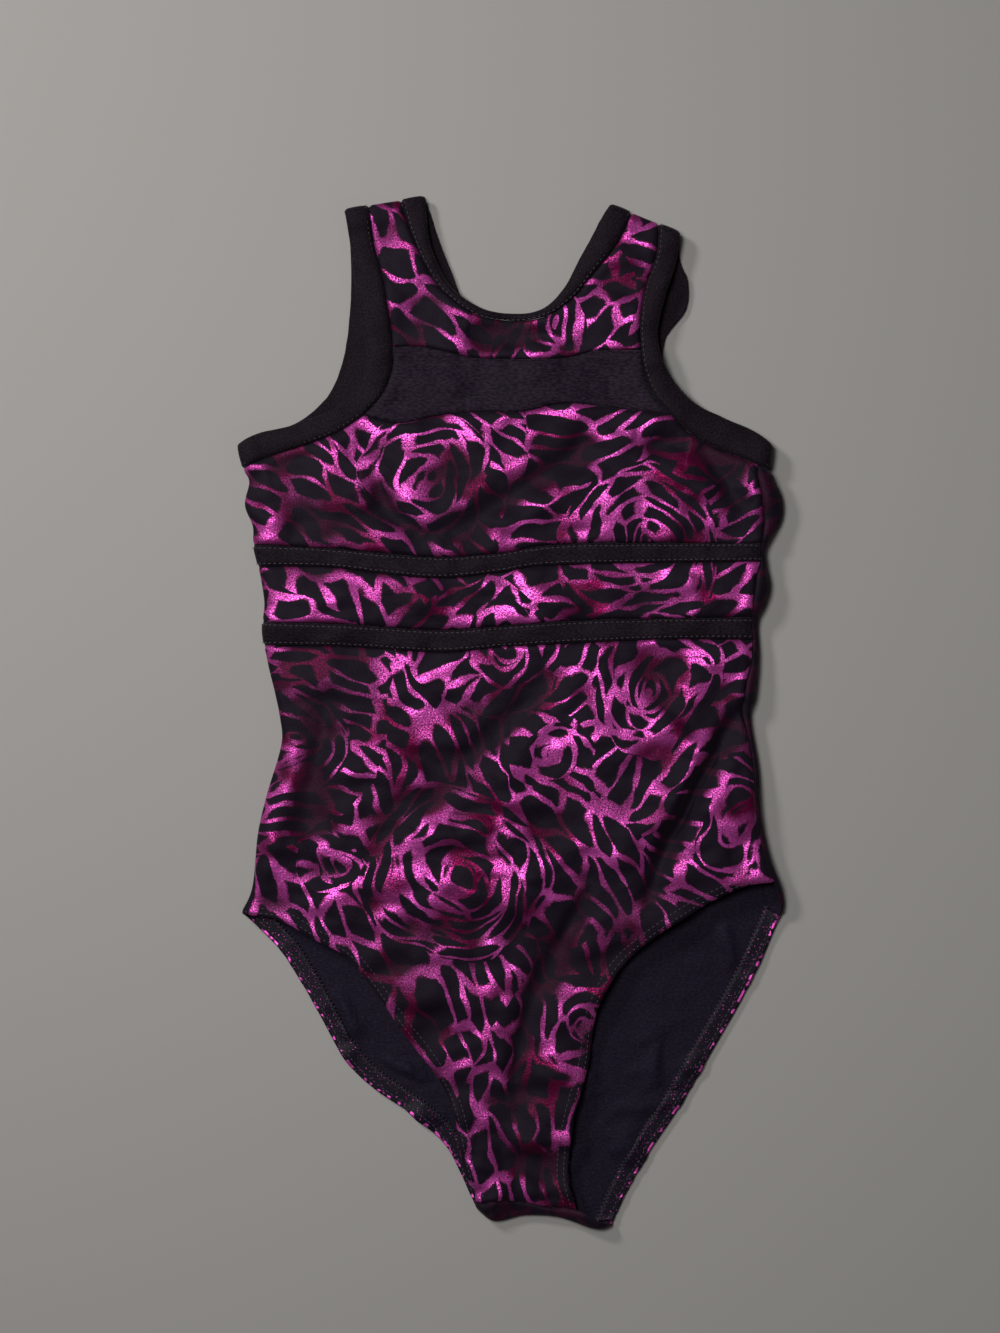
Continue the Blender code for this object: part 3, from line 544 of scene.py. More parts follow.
def skin(plan, side):
    """Points on the outer skin above or below plan points, and their outward directions."""
    x, y = plan[..., 0], plan[..., 1]
    z = skin_height(x, y, side)
    h = SLOPE_STEP
    slope = np.stack([
        skin_rule(x + h, y, z, side) - skin_rule(x - h, y, z, side),
        skin_rule(x, y + h, z, side) - skin_rule(x, y - h, z, side),
        skin_rule(x, y, z + h, side) - skin_rule(x, y, z - h, side),
    ], -1)
    return np.stack([x, y, z], -1), slope / np.linalg.norm(slope, axis=-1)[..., None]


def cut_place(plan, side):
    """Where each point lies on its cloth when the roll over the side is smoothed out, in millimetres."""
    points, _ = skin(plan, side)
    x, y, z = points[..., 0], points[..., 1], points[..., 2]
    down = np.clip(np.abs(z - middle(y) * (1 + side)) - ROLL_BEGINS, 0, None)
    return np.stack([x + np.sign(x) * down, y], -1)


def add_object(name, data):
    made = bpy.data.objects.new(name, data)
    bpy.context.scene.collection.objects.link(made)
    return made


def add_mesh(name, points, faces, materials):
    """A smooth mesh from points in plan millimetres, with the middle of the garment at the origin."""
    mesh = bpy.data.meshes.new(name)
    centred = points - np.array([CENTRE_X, CENTRE_Y, 0.0])
    mesh.from_pydata((centred * MM).tolist(), [], faces)
    mesh.shade_smooth()
    for material in materials:
        mesh.materials.append(material)
    return add_object(name, mesh)


def finish_piece(piece, replaced=None):
    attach(piece, "root")
    if replaced:
        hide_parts(replaced)
    return piece


class Cloth:
    """Sheets of faces whose points each know which way is outwards and where they lie on the cut."""

    def __init__(self):
        self.points = []
        self.outward = []
        self.cut = []
        self.faces = []
        self.known = {}

    def add_point(self, point, outward, cut):
        key = (round(point[0], 2), round(point[1], 2), round(point[2], 2))
        if key not in self.known:
            self.known[key] = len(self.points)
            self.points.append(point)
            self.outward.append(outward)
            self.cut.append(cut)
        return self.known[key]

    def add_grid(self, points, outward, cut=None):
        """Faces between the points of a grid, all wound so that they face outwards."""
        facing = np.cross(points[:-1, 1:] - points[:-1, :-1], points[1:, :-1] - points[:-1, :-1])
        turn_over = (facing * outward[:-1, :-1]).sum() < 0
        places = points[..., :2] if cut is None else cut
        index = [
            [self.add_point(*place) for place in zip(*row)]
            for row in zip(points.tolist(), outward.tolist(), places.tolist())
        ]
        for upper, lower in zip(index, index[1:]):
            for k in range(len(upper) - 1):
                corners = [upper[k], upper[k + 1], lower[k + 1], lower[k]]
                corners = [c for n, c in enumerate(corners) if c != corners[n - 1]]
                if len(corners) > 2:
                    self.faces.append(corners[::-1] if turn_over else corners)
        return self

    def add_skin(self, plan, side):
        return self.add_grid(*skin(plan, side), cut_place(plan, side))

    def free_edges(self):
        """Edges with cloth on one side only, each running with its face."""
        seen = {}
        for face in self.faces:
            for a, b in zip(face, face[1:] + face[:1]):
                seen[(a, b)] = (b, a) not in seen
                if not seen[(a, b)]:
                    seen[(b, a)] = False
        return [edge for edge, free in seen.items() if free]

    def drawn_in(self, points, outward, edges, gap):
        """The points, with those on free edges moved into the cloth by the gap."""
        inward = {}
        for a, b in edges:
            along = points[b] - points[a]
            for c in (a, b):
                step = np.cross(outward[c], along)
                inward.setdefault(c, []).append(step / np.linalg.norm(step))
        moved = points.copy()
        for c, steps in inward.items():
            both = sum(steps)
            moved[c] += gap * both * len(steps) / max(both @ both, 1.0)
        return moved

    def from_edge(self, points, edges):
        """Each point's distance from the nearest free edge."""
        between = np.linspace(0, 1, EDGE_SAMPLES, endpoint=False)[:, None, None]
        starts, ends = points[[a for a, _ in edges]], points[[b for _, b in edges]]
        samples = (starts + between * (ends - starts)).reshape(-1, 3)
        tree = KDTree(len(samples))
        for k, sample in enumerate(samples):
            tree.insert(sample, k)
        tree.balance()
        return np.array([tree.find(point)[2] for point in points])

    def make(self, name, form, materials, slot_name, panel=0):
        """The closed shell that stands for a solid, with rounded edges, dipped seams and its cut marked.

        The panel's number goes with the cut place; for a hem it is each point's distance from the fold.
        """
        outward = np.array(self.outward)
        edges = self.free_edges()
        start = np.array(self.points)
        points = self.drawn_in(start, outward, edges, SEAM_GAP / 2 + form.inset)
        distance = self.from_edge(start, edges)
        roundness = np.sqrt(1 - (1 - np.minimum(distance / form.edge, 1)) ** 2)
        thick = form.thickness * (form.rim + (1 - form.rim) * roundness)
        dipped = -form.dip * np.exp(-((distance / DIP_WIDTH) ** 2))
        dipped += form.puff * np.exp(-(((distance - PUFF_FROM_EDGE) / PUFF_WIDTH) ** 2))
        crown = form.crown * (1 - (1 - np.minimum(distance / CROWN_REACH, 1)) ** 2)
        raised = (form.proud + crown) * np.maximum(outward[:, 2], 0) - form.sunk + dipped
        top = raised - (form.thickness - thick) / 2
        outer = points + outward * top[:, None]
        inner = points + outward * (top - thick)[:, None]
        count = len(points)
        faces = list(self.faces)
        faces += [[c + count for c in reversed(face)] for face in self.faces]
        faces += [[b, a, a + count, b + count] for a, b in edges]
        piece = add_mesh(name + "_cloth", np.vstack([outer, inner]), faces, materials)
        mesh = piece.data
        if len(materials) > 1:
            inside = np.zeros(len(faces), int)
            inner_faces = [max(distance[c] for c in face) > FOLD_SHOWS for face in self.faces]
            inside[len(self.faces) : 2 * len(self.faces)] = inner_faces
            mesh.polygons.foreach_set("material_index", inside)
        cut = np.column_stack([np.array(self.cut), np.full(count, panel, float)])
        place = mesh.attributes.new(CUT, "FLOAT_VECTOR", "POINT")
        place.data.foreach_set("vector", np.vstack([cut, cut]).ravel())
        shade_painted = mesh.attributes.new(PAINTED_SHADE_LAYER, "FLOAT", "POINT")
        shade_painted.data.foreach_set("value", np.tile(self.shade_to_paint(start, outward, name), 2))
        return finish_piece(piece, name)

    def shade_to_paint(self, start, outward, name):
        """How much painted shade darkens the foil, from 0 to 1: in deep folds, in listed places and where
        the back turns up.
        """
        x, y, up = start[:, 0], start[:, 1], outward[:, 2]
        # On the back, painted shade lies on the cloth that rolls round the side and crotch into view
        if name.startswith("back"):
            return np.clip(1 + up / BACK_SHADE_FADES, 0, 1)
        # On the front, painted shade lies in the troughs of the folds and round the listed places
        dull = np.clip(-front_relief.read(x, y) / DEEP_FOLD, 0, 1) * (up > 0)
        for place in SHADED_PLACES:
            apart = np.hypot(x - place.x, y - place.y) / place.radius
            dull += place.share * np.exp(-(apart**2))
        return np.clip(dull, 0, 1)

    def area(self):
        """The flat area of the cloth, in square metres."""
        points = np.array(self.points) * MM
        total = 0.0
        for face in self.faces:
            corners = points[face]
            spans = corners[1:] - corners[0]
            total += np.linalg.norm(np.cross(spans[:-1], spans[1:]), axis=1).sum() / 2
        return total


def spaced(length, cells, start_roll=0.0, end_roll=0.0):
    """Shares of a length: even cells, with closer ones where the cloth rolls over a fold."""
    near = start_roll * ROLL_TURNS if start_roll else np.array([])
    far = length - end_roll * ROLL_TURNS[::-1] if end_roll else np.array([])
    even = np.linspace(start_roll, length - end_roll, cells + 1 - len(near) - len(far))
    return np.concatenate([near, even, far]) / length


def patch(top, bottom, left, right):
    """Plan points between four edges: top and bottom run left to right, the sides run down."""
    across = ((shares_along(top) + shares_along(bottom)) / 2)[None, :, None]
    down = ((shares_along(left) + shares_along(right)) / 2)[:, None, None]
    ruled = (1 - down) * top + down * bottom
    sides = (1 - across) * left[:, None] + across * right[:, None]
    ends = (1 - across) * ((1 - down) * top[0] + down * bottom[0])
    ends = ends + across * ((1 - down) * top[-1] + down * bottom[-1])
    return ruled + sides - ends


def strip(first, second, shares):
    """Plan points between two edges that run side by side, at these shares of the way across."""
    across = shares[None, :, None]
    return (1 - across) * first[:, None] + across * second[:, None]


def run_through(*runs):
    """Points of several runs end to end, without the doubled ones."""
    return np.vstack([runs[0]] + [run[1:] for run in runs[1:]])


def left_side_x(y):
    return side_left.read(y, 1, 0)


def right_fold_x(y):
    return side_right.read(y, 1, 0)


def right_seam_x(y):
    return right_fold_x(y) - inset_curve.read(y, 0, 1)


def meeting(curve, side_x):
    """Where a cross seam meets a side line, found by closing in on it."""
    y = curve.dense[:, 1].mean()
    for _ in range(CLOSING_STEPS):
        y = curve.read(side_x(y), 0, 1)
    return np.array([side_x(y), y])


def down_side(side_x, start, end, rows):
    """Points on a side line between two of its points."""
    y = np.linspace(start[1], end[1], rows + 1)
    return np.stack([side_x(y), y], -1)


def shares_along(points):
    """Each point's share of the way along a run of points."""
    along = distances(points)
    return along / along[-1]


# The seams round the armholes and the neck, as points that the pieces on both sides share
front_leg_left = Curve(FRONT_LEG_LEFT)
front_leg_right = Curve([(right_seam_x(RIGHT_HIP_TURN_Y), RIGHT_HIP_TURN_Y), *FRONT_LEG_RIGHT])
back_leg_left = Curve(BACK_LEG_LEFT)
back_leg_right = Curve(BACK_LEG_RIGHT)


def strap_points(curve, rows):
    return curve.at(spaced(curve.length, rows, SHOULDER_ROLL))


underarm_left = Curve(BUST_ARMHOLE_LEFT)
underarm_right = Curve(BUST_ARMHOLE_RIGHT)
right_seam_top = meeting(underarm_right, right_seam_x)
to_right_seam = np.interp(
    right_seam_top[0], underarm_right.dense[:, 0], underarm_right.along / underarm_right.length
)
front_strap_left = strap_points(Curve(FRONT_ARMHOLE_SEAM_LEFT), STRAP_ROWS)
front_strap_right = strap_points(Curve(FRONT_ARMHOLE_SEAM_RIGHT), STRAP_ROWS)
insert_left = Curve(INSERT_SIDE_LEFT).at(spaced(1, INSERT_ROWS))
insert_right = Curve(INSERT_SIDE_RIGHT).at(spaced(1, INSERT_ROWS))
insert_top = Curve(INSERT_TOP).at(spaced(1, INSERT_CELLS))
insert_bottom = Curve(INSERT_BOTTOM).at(spaced(1, INSERT_CELLS))
bust_left = underarm_left.at(spaced(underarm_left.length, UNDERARM_CELLS, 0.0, SIDE_ROLL))
bust_right = underarm_right.part(0, to_right_seam).at(spaced(1, UNDERARM_CELLS))
round_right_fold = underarm_right.at(1 + (to_right_seam - 1) * WRAP_SHARES[::-1])

front_armhole_left = run_through(front_strap_left, insert_left, bust_left)
front_armhole_right = run_through(front_strap_right, insert_right, bust_right, round_right_fold)
bust_top = run_through(bust_left[::-1], insert_bottom, bust_right)
front_columns = (bust_top[:, 0] - bust_top[0, 0]) / (bust_top[-1, 0] - bust_top[0, 0])

# The back's binding seams run a binding's width inside its edges
back_neck_edge = Curve(BACK_NECK_EDGE)
back_neck_curve = back_neck_edge.offset(BINDING_WIDTH, FRONT_NECK_SEAM[0], FRONT_NECK_SEAM[-1])
back_armhole_edge_left = Curve(BACK_ARMHOLE_EDGE_LEFT)
back_armhole_edge_right = Curve(BACK_ARMHOLE_EDGE_RIGHT)
back_seam_left = back_armhole_edge_left.offset(
    -BINDING_WIDTH, FRONT_ARMHOLE_SEAM_LEFT[0], BUST_ARMHOLE_LEFT[-1]
)
back_seam_right = back_armhole_edge_right.offset(
    BINDING_WIDTH, FRONT_ARMHOLE_SEAM_RIGHT[0], BUST_ARMHOLE_RIGHT[-1]
)
back_strap_left = strap_points(back_seam_left.part(0, BACK_CHEST_SHARE), BACK_STRAP_ROWS)
back_strap_right = strap_points(back_seam_right.part(0, BACK_CHEST_SHARE), BACK_STRAP_ROWS)


def underarm_points(seam):
    """Points of a back armhole seam below its strap, closer together as it rolls over the side."""
    under = seam.part(BACK_CHEST_SHARE, 1)
    return under.at(spaced(under.length, BACK_UNDERARM_CELLS, 0.0, SIDE_ROLL))


back_under_left = underarm_points(back_seam_left)
back_under_right = underarm_points(back_seam_right)
back_chest = Curve([back_strap_left[-1], back_strap_right[-1]]).at(spaced(1, BACK_CHEST_CELLS))


def neck_points(curve, turns, left, middle_seam, right):
    """Points of a neck seam, each level with a point of the seam that runs outside it."""
    first, second = turns
    down = first * shares_along(left)
    across = first + (second - first) * shares_along(middle_seam)
    up = second + (1 - second) * shares_along(right[::-1])
    return curve.at(np.concatenate([down, across[1:], up[1:]]))


front_neck = neck_points(
    Curve(FRONT_NECK_SEAM), NECK_SEAM_TURNS, front_strap_left, insert_top, front_strap_right
)
back_neck = neck_points(
    back_neck_curve, BACK_NECK_TURNS, back_strap_left, back_chest, back_strap_right
)
band_seams = [Curve(t) for t in (UPPER_BAND_TOP, UPPER_BAND_BOTTOM, LOWER_BAND_TOP, LOWER_BAND_BOTTOM)]


def cross_seam(curve):
    """Points along a cross seam of the front, from the left fold to the right side seam."""
    start = meeting(curve, left_side_x)
    end = meeting(curve, right_seam_x)
    x = start[0] + (end[0] - start[0]) * front_columns
    points = np.stack([x, curve.read(x, 0, 1)], -1)
    points[0] = start
    points[-1] = end
    return points


cross_seams = [bust_top, *map(cross_seam, band_seams)]
panel_rows = [BUST_ROWS, BAND_ROWS, MIDRIFF_ROWS, BAND_ROWS, HIP_ROWS]
seam_starts = [seam[0] for seam in cross_seams] + [front_leg_left.dense[0]]
seam_ends = [seam[-1] for seam in cross_seams] + [front_leg_right.dense[0]]
left_runs = [
    down_side(left_side_x, a, b, rows) for a, b, rows in zip(seam_starts, seam_starts[1:], panel_rows)
]
right_runs = [
    down_side(right_seam_x, a, b, rows) for a, b, rows in zip(seam_ends, seam_ends[1:], panel_rows)
]


def hip_line(leg_left, leg_right, shares):
    """The line from hip to hip where the mesh changes, arched to leave room for the hems."""
    start, end = leg_left.dense[0], leg_right.dense[0]
    points = start + (end - start) * shares[:, None]
    points[:, 1] += HIP_ARCH * (1 - (2 * shares - 1) ** 4)
    return points


def below_hips(hips, crotch, leg_left, leg_right):
    """Plans from the hips to the crotch: beside the left leg edge, between, and beside the right one."""
    down = spaced(leg_left.length, LEG_ROWS, 0.0, CROTCH_ROLL)
    across = np.append(ROLL_TURNS, 1.0)
    cells = len(ROLL_TURNS)
    hem_left = leg_left.offset(-HEM_WIDTH, hips[cells], crotch[cells]).at(down)
    hem_right = leg_right.offset(HEM_WIDTH, hips[-1 - cells], crotch[-1 - cells]).at(down)
    beside_left = strip(leg_left.at(down), hem_left, across)
    beside_right = strip(leg_right.at(down), hem_right, across)
    beside_left[0], beside_right[0] = hips[: cells + 1], hips[: -2 - cells : -1]
    beside_left[-1], beside_right[-1] = crotch[: cells + 1], crotch[: -2 - cells : -1]
    between = patch(hips[cells:-cells], crotch[cells:-cells], hem_left, hem_right)
    return beside_left, between, beside_right


def crotch_points(curve, shares):
    """Crotch points whose end cells are as wide as a hem."""
    cells = len(ROLL_TURNS)
    hem = HEM_WIDTH / curve.length
    inner = (shares[cells:-cells] - shares[cells]) / (shares[-1 - cells] - shares[cells])
    near = hem * ROLL_TURNS
    return curve.at(np.concatenate([near, hem + (1 - 2 * hem) * inner, 1 - near[::-1]]))


def blend_directions(points, outward, weight):
    """Outward directions that lean, by the weight, to those of the ribbon's own shape."""
    facing = np.cross(np.gradient(points, axis=0), np.gradient(points, axis=1))
    facing /= np.linalg.norm(facing, axis=-1)[..., None]
    facing *= np.sign((facing * outward).sum(-1))[..., None]
    leaning = (1 - weight) * outward + weight * facing
    return leaning / np.linalg.norm(leaning, axis=-1)[..., None]


# How each kind of piece is made up: its cloth, its edges, and how it lies beside its neighbours
Form = namedtuple("Form", "thickness edge rim proud sunk dip puff crown inset")
PANEL = Form(1.0, 0.7, 0.4, 0.0, 0.0, 0.55, 0.25, 0.0, 0.0)
BAND = Form(1.6, 0.9, 0.3, TRIM_PROUD, 0.0, 0.5, 0.1, 0.5, 0.0)
BINDING = Form(2.0, 2.2, 0.2, TRIM_PROUD, 0.0, 0.5, 0.0, 1.1, 0.0)
HEM = Form(0.9, 0.5, 0.4, 0.0, HEM_SUNK, 0.0, 0.0, 0.0, 0.3)

# The number of each panel shifts its print, so that it doesn't run on across a seam
PANEL_NUMBERS = {"brief_panel": 0, "midriff_panel": 1, "bust_panel": 2, "front_yoke": 3, "back_panel": 4}


def declare(cloth, width=None):
    """Works out how large the piece was cut, its own width by its length and its flat area, and does
    nothing more with them.
    """
    area = cloth.area()
    if width is None:
        spread = np.ptp(np.array(cloth.cut), axis=0) * MM
        flat = (float(spread[0]), float(spread[1]))
        area = min(area, flat[0] * flat[1])
    else:
        flat = (width * MM, area / (width * MM))


class Sewing:
    """Stitches and threads gathered into one mesh."""

    SIDES = 5
    TAPER = np.array([0.35, 1.0, 1.0, 0.35])
    SETTLE = np.array([-0.9, 0.5, 0.5, -0.9])

    def __init__(self, sizes):
        self.radius = sizes.thread / MM / 2
        self.stitch = sizes.stitch / MM
        self.gap = sizes.stitch_gap / MM
        self.points = []
        self.faces = []

    def add_tube(self, line, outward, radii):
        """A thread along these points, closed at both ends."""
        ahead = np.gradient(line, axis=0)
        ahead /= np.linalg.norm(ahead, axis=1)[:, None]
        side = np.cross(ahead, outward)
        side /= np.linalg.norm(side, axis=1)[:, None]
        over = np.cross(side, ahead)
        angle = 2 * np.pi * np.arange(self.SIDES) / self.SIDES
        ring = np.cos(angle)[None, :, None] * side[:, None] + np.sin(angle)[None, :, None] * over[:, None]
        start = len(self.points)
        self.points += (line[:, None] + np.asarray(radii)[:, None, None] * ring).reshape(-1, 3).tolist()
        last = start + (len(line) - 1) * self.SIDES
        for row in range(start, last, self.SIDES):
            for k in range(self.SIDES):
                after = (k + 1) % self.SIDES
                self.faces.append([row + k, row + after, row + self.SIDES + after, row + self.SIDES + k])
        self.faces.append(list(range(start, start + self.SIDES))[::-1])
        self.faces.append(list(range(last, last + self.SIDES)))

    def add_stitches(self, line, outward):
        """Separate stitches along a line, each dipping into the cloth at its ends."""
        along = distances(line)
        share = np.linspace(0, 1, len(self.TAPER))
        for begin in np.arange(self.gap, along[-1] - self.stitch, self.stitch + self.gap):
            at = begin + share * self.stitch
            points, facing = read_line(line, along, at), read_line(outward, along, at)
            points = points + facing * (self.SETTLE * self.radius)[:, None]
            self.add_tube(points, facing, self.radius * self.TAPER)

    def add_zigzag(self, line, outward, width, step):
        """One thread that crosses from side to side of a line."""
        along = distances(line)
        at = np.arange(0, along[-1], step)
        points, facing = read_line(line, along, at), read_line(outward, along, at)
        across = np.cross(np.gradient(points, axis=0), facing)
        across /= np.linalg.norm(across, axis=1)[:, None]
        swing = np.where(np.arange(len(at)) % 2, 0.5, -0.5) * width
        self.add_tube(points + across * swing[:, None], facing, np.full(len(at), self.radius))

    def make(self, name, material, slot_name):
        return finish_piece(add_mesh(name, np.array(self.points), self.faces, [material]))


def read_line(values, along, at):
    return np.stack([np.interp(at, along, values[:, k]) for k in range(values.shape[1])], -1)


def row_on(plan, side, share, lift):
    """A line at one share of the width of a strip, lifted off the cloth, and the way outwards on it."""
    shares = shares_along(plan[len(plan) // 2])
    column = np.interp(share, shares, np.arange(len(shares)))
    near = min(int(column), len(shares) - 2)
    part = column - near
    points, outward = skin((1 - part) * plan[:, near] + part * plan[:, near + 1], side)
    return points + lift * outward, outward


def make_front_yoke(looks):
    outer = run_through(front_strap_left, insert_top, front_strap_right[::-1])
    cloth = Cloth().add_skin(strip(front_neck, outer, np.linspace(0, 1, STRAP_CELLS + 1)), +1)
    piece = cloth.make("front_yoke", PANEL, looks.printed, "printed_tricot", PANEL_NUMBERS["front_yoke"])
    declare(cloth)


def make_chest_insert(looks):
    cloth = Cloth().add_skin(patch(insert_top, insert_bottom, insert_left, insert_right), +1)
    piece = cloth.make("chest_insert", PANEL, [looks.insert], "plain_tricot")
    declare(cloth)


def front_plan(number, bottom=None):
    """The plan of a front panel below one of the cross seams."""
    below = cross_seams[number + 1] if bottom is None else bottom
    return patch(cross_seams[number], below, left_runs[number], right_runs[number])


def make_front_panel(name, number, looks):
    cloth = Cloth().add_skin(front_plan(number), +1)
    piece = cloth.make(name, PANEL, looks.printed, "printed_tricot", PANEL_NUMBERS[name])
    declare(cloth)


def make_band(name, number, looks, sizes):
    plan = front_plan(number)
    cloth = Cloth().add_skin(plan, +1)
    piece = cloth.make(name, BAND, [looks.band], "trim_band")
    sewing = Sewing(sizes)
    for share in BAND_STITCH_SHARES:
        sewing.add_stitches(*row_on(plan.swapaxes(0, 1), +1, share, TRIM_PROUD))
    stitches = sewing.make(name + "_stitches", looks.thread, "trim_band")
    declare(cloth)


def make_brief_panel(looks, sizes):
    """The lower front, from the lower band to both leg edges and the crotch seam, with its hems."""
    hips = hip_line(front_leg_left, front_leg_right, front_columns)
    cloth = Cloth().add_skin(front_plan(len(cross_seams) - 1, hips), +1)
    crotch = crotch_points(Curve(FRONT_CROTCH_SEAM), front_columns)
    plans = below_hips(hips, crotch, front_leg_left, front_leg_right)
    for plan in plans:
        cloth.add_skin(plan, +1)
    piece = cloth.make("brief_panel", PANEL, looks.printed, "printed_tricot", PANEL_NUMBERS["brief_panel"])
    for side_name, plan in zip(("left", "right"), plans[::2]):
        make_hem("front_leg_hem_" + side_name, plan, +1, looks)
        sewing = Sewing(sizes)
        for share in LEG_STITCH_SHARES:
            sewing.add_stitches(*row_on(plan, +1, share, STITCH_LIFT))
        sewing.make("front_leg_stitches_" + side_name, looks.thread, "leg_hem")
    declare(cloth)


def make_hem(name, plan, side, looks):
    """A turned hem: the strip of a panel beside its leg edge, on the panel's inner face."""
    plan = plan[HEM_START_ROW:HEM_END_ROW]
    cloth = Cloth().add_skin(plan, side)
    points = np.array(cloth.points)
    fold = plan[:, 0]
    from_fold = np.hypot(points[:, :1] - fold[:, 0], points[:, 1:2] - fold[:, 1]).min(1)
    piece = cloth.make(name, HEM, [looks.hem], "leg_hem", from_fold)
    declare(cloth, HEM_WIDTH)


def make_back_panel(looks, sizes):
    """The whole back in one sheet, with what comes round the right side and the crotch."""
    outer = run_through(back_strap_left, back_chest, back_strap_right[::-1])
    cloth = Cloth().add_skin(strip(back_neck, outer, np.linspace(0, 1, STRAP_CELLS + 1)), -1)

    top = run_through(back_under_left[::-1], back_chest, back_under_right)
    left = run_through(*left_runs)
    seam = run_through(*right_runs)
    seam_ends_y = [seam[-1, 1], seam[0, 1]]
    fold_y = np.interp(seam[:, 1], seam_ends_y, [back_leg_right.dense[0, 1], top[-1][1]])
    right = np.stack([right_fold_x(fold_y), fold_y], -1)
    shares = (top[:, 0] - top[0, 0]) / (top[-1, 0] - top[0, 0])
    hips = hip_line(back_leg_left, back_leg_right, shares)
    cloth.add_skin(patch(top, hips, left, right), -1)

    crotch = crotch_points(crotch_fold, shares)
    plans = below_hips(hips, crotch, back_leg_left, back_leg_right)
    for plan in plans:
        cloth.add_skin(plan, -1)

    around = strip(right, seam, WRAP_SHARES)
    around[0] = round_right_fold[::-1]
    cloth.add_skin(around, +1)

    crotch_seam = Curve(FRONT_CROTCH_SEAM).at(shares_along(crotch))
    cloth.add_skin(strip(crotch, crotch_seam, WRAP_SHARES).swapaxes(0, 1), +1)
    piece = cloth.make("back_panel", PANEL, looks.printed, "printed_tricot", PANEL_NUMBERS["back_panel"])
    declare(cloth)

    lift = -(HEM_SUNK + HEM.thickness)
    for side_name, plan in zip(("left", "right"), plans[::2]):
        sewing = Sewing(sizes)
        rows = plan[HEM_START_ROW:HEM_END_ROW]
        line, outward = row_on(rows, -1, HEM_STITCH_SHARE, lift)
        sewing.add_stitches(line, -outward)
        line, outward = row_on(rows, -1, OVERLOCK_SHARE, lift)
        sewing.add_zigzag(line, -outward, OVERLOCK_WIDTH, OVERLOCK_STEP)
        overlock = sewing.make("back_leg_overlock_" + side_name, looks.thread, "leg_hem")
        make_hem("back_leg_hem_" + side_name, plan, -1, looks)


def make_binding(name, front_seam, front_edge, back_seam, back_edge, looks, sizes, drops=None):
    """A binding as one closed loop: over the front, round the fold, and along the back."""
    cloth = Cloth()
    sewing = Sewing(sizes)
    for side, seam, edge in ((+1, front_seam, front_edge), (-1, back_seam, back_edge)):
        shares = shares_along(seam)
        plan = strip(seam, edge.at(shares), BINDING_SHARES)
        points, outward = skin(plan, side)
        if side > 0 and drops:
            share, drop = np.array(drops).T
            fall = np.interp(shares, share, drop)[:, None]
            points[..., 2] -= fall * BINDING_SHARES**2
            outward = blend_directions(points, outward, (BINDING_SHARES * (fall > 0))[..., None])
        cloth.add_grid(points, outward, plan)
        line, facing = row_on(plan, side, BINDING_STITCH_SHARE, TRIM_PROUD if side > 0 else 0.0)
        sewing.add_stitches(line, facing)
    piece = cloth.make(name, BINDING, [looks.binding], "binding")
    stitches = sewing.make(name + "_stitches", looks.thread, "binding")
    declare(cloth, BINDING_WIDTH)


def make_bindings(looks, sizes):
    make_binding(
        "neck_binding", front_neck, Curve(FRONT_NECK_EDGE), back_neck, back_neck_edge, looks, sizes,
        NECK_BINDING_DROPS,
    )
    make_binding(
        "armhole_binding_left", front_armhole_left, Curve(FRONT_ARMHOLE_EDGE_LEFT),
        run_through(back_strap_left, back_under_left), back_armhole_edge_left, looks, sizes,
    )
    make_binding(
        "armhole_binding_right", front_armhole_right, Curve(FRONT_ARMHOLE_EDGE_RIGHT),
        run_through(back_strap_right, back_under_right), back_armhole_edge_right, looks, sizes,
    )


def linear(colour):
    """An sRGB hex colour as linear red, green and blue."""
    shares = [int(colour[k : k + 2], 16) / 255 for k in (0, 2, 4)]
    return tuple(s / 12.92 if s <= 0.04045 else ((s + 0.055) / 1.055) ** 2.4 for s in shares)


def feed(tree, made, inputs):
    """Gives each named input of a node its value, or a link from the output of another node."""
    for key, value in inputs.items():
        if isinstance(value, bpy.types.NodeSocket):
            tree.links.new(value, made.inputs[key])
        else:
            made.inputs[key].default_value = value


def node(tree, kind, inputs=None, output=0, **settings):
    """Adds a shader node with its settings and inputs, and returns one of its outputs."""
    made = tree.nodes.new("ShaderNode" + kind)
    for name, value in settings.items():
        setattr(made, name, value)
    feed(tree, made, inputs or {})
    return made.outputs[output]


# Roses of the print: where each one lies on the cut, how large it is, and which way its leaves point
Rose = namedtuple("Rose", "x y radius turn")
ROSES = [
    Rose(-28, -82, 48, 0.5),
    Rose(76, 13, 35, 2.3),
    Rose(-116, -14, 30, 1.5),
    Rose(40, -166, 30, 0.2),
    Rose(68, 90, 44, 1.9),
    Rose(-44, 124, 32, 0.9),
    Rose(-4, 36, 20, 2.5),
    Rose(118, -62, 20, 1.1),
    Rose(-92, -78, 12, 2.0),
    Rose(26, -22, 14, 0.95),
    Rose(24, 200, 16, 2.2),
    Rose(112, 140, 14, 0.7),
]

# Petals and leaves of the print in millimetres, how round their ends are, and how uneven they lie
PETAL_WIDTH = 8.2
PETAL_LENGTH = 27.0
PETAL_TWIST = 0.035
PETAL_ROUND = 0.9
LEAF_WIDTH = 10.4
LEAF_LENGTH = 27.0
LEAF_ROUND = 0.76
ROUND_BLEND = 0.12
UNEVEN = 0.85

# How the lines of the print sway: over what distance and how far, in millimetres
PRINT_SWAYS = [(14, 5), (24, 9), (60, 24)]

# What gives each rose petals of its own and each panel leaves of its own
NO_ROSE = 99.0
ROSE_STEP = 9
FLATTEN = 1e6
LEAF_STEPS = (37, 91, 0)

# The lines swell, and take painted shade, in patches this many millimetres across. Their edges, the
# specks in them and the knit have so many grains a millimetre, as fine as the render can show.
WEIGHT_PATCH = 14
SHADE_TONE_PATCH = 38
LINE_GRAIN = 0.8
SPECK_GRAIN = 1.3
KNIT_GRAIN = 0.75
RAGGED = 0.09
FLECK_SPACING = 1.0
DASH_SPACING = 4.0

# Knitted cloth has little gloss
CLOTH_SPECULAR = 0.12


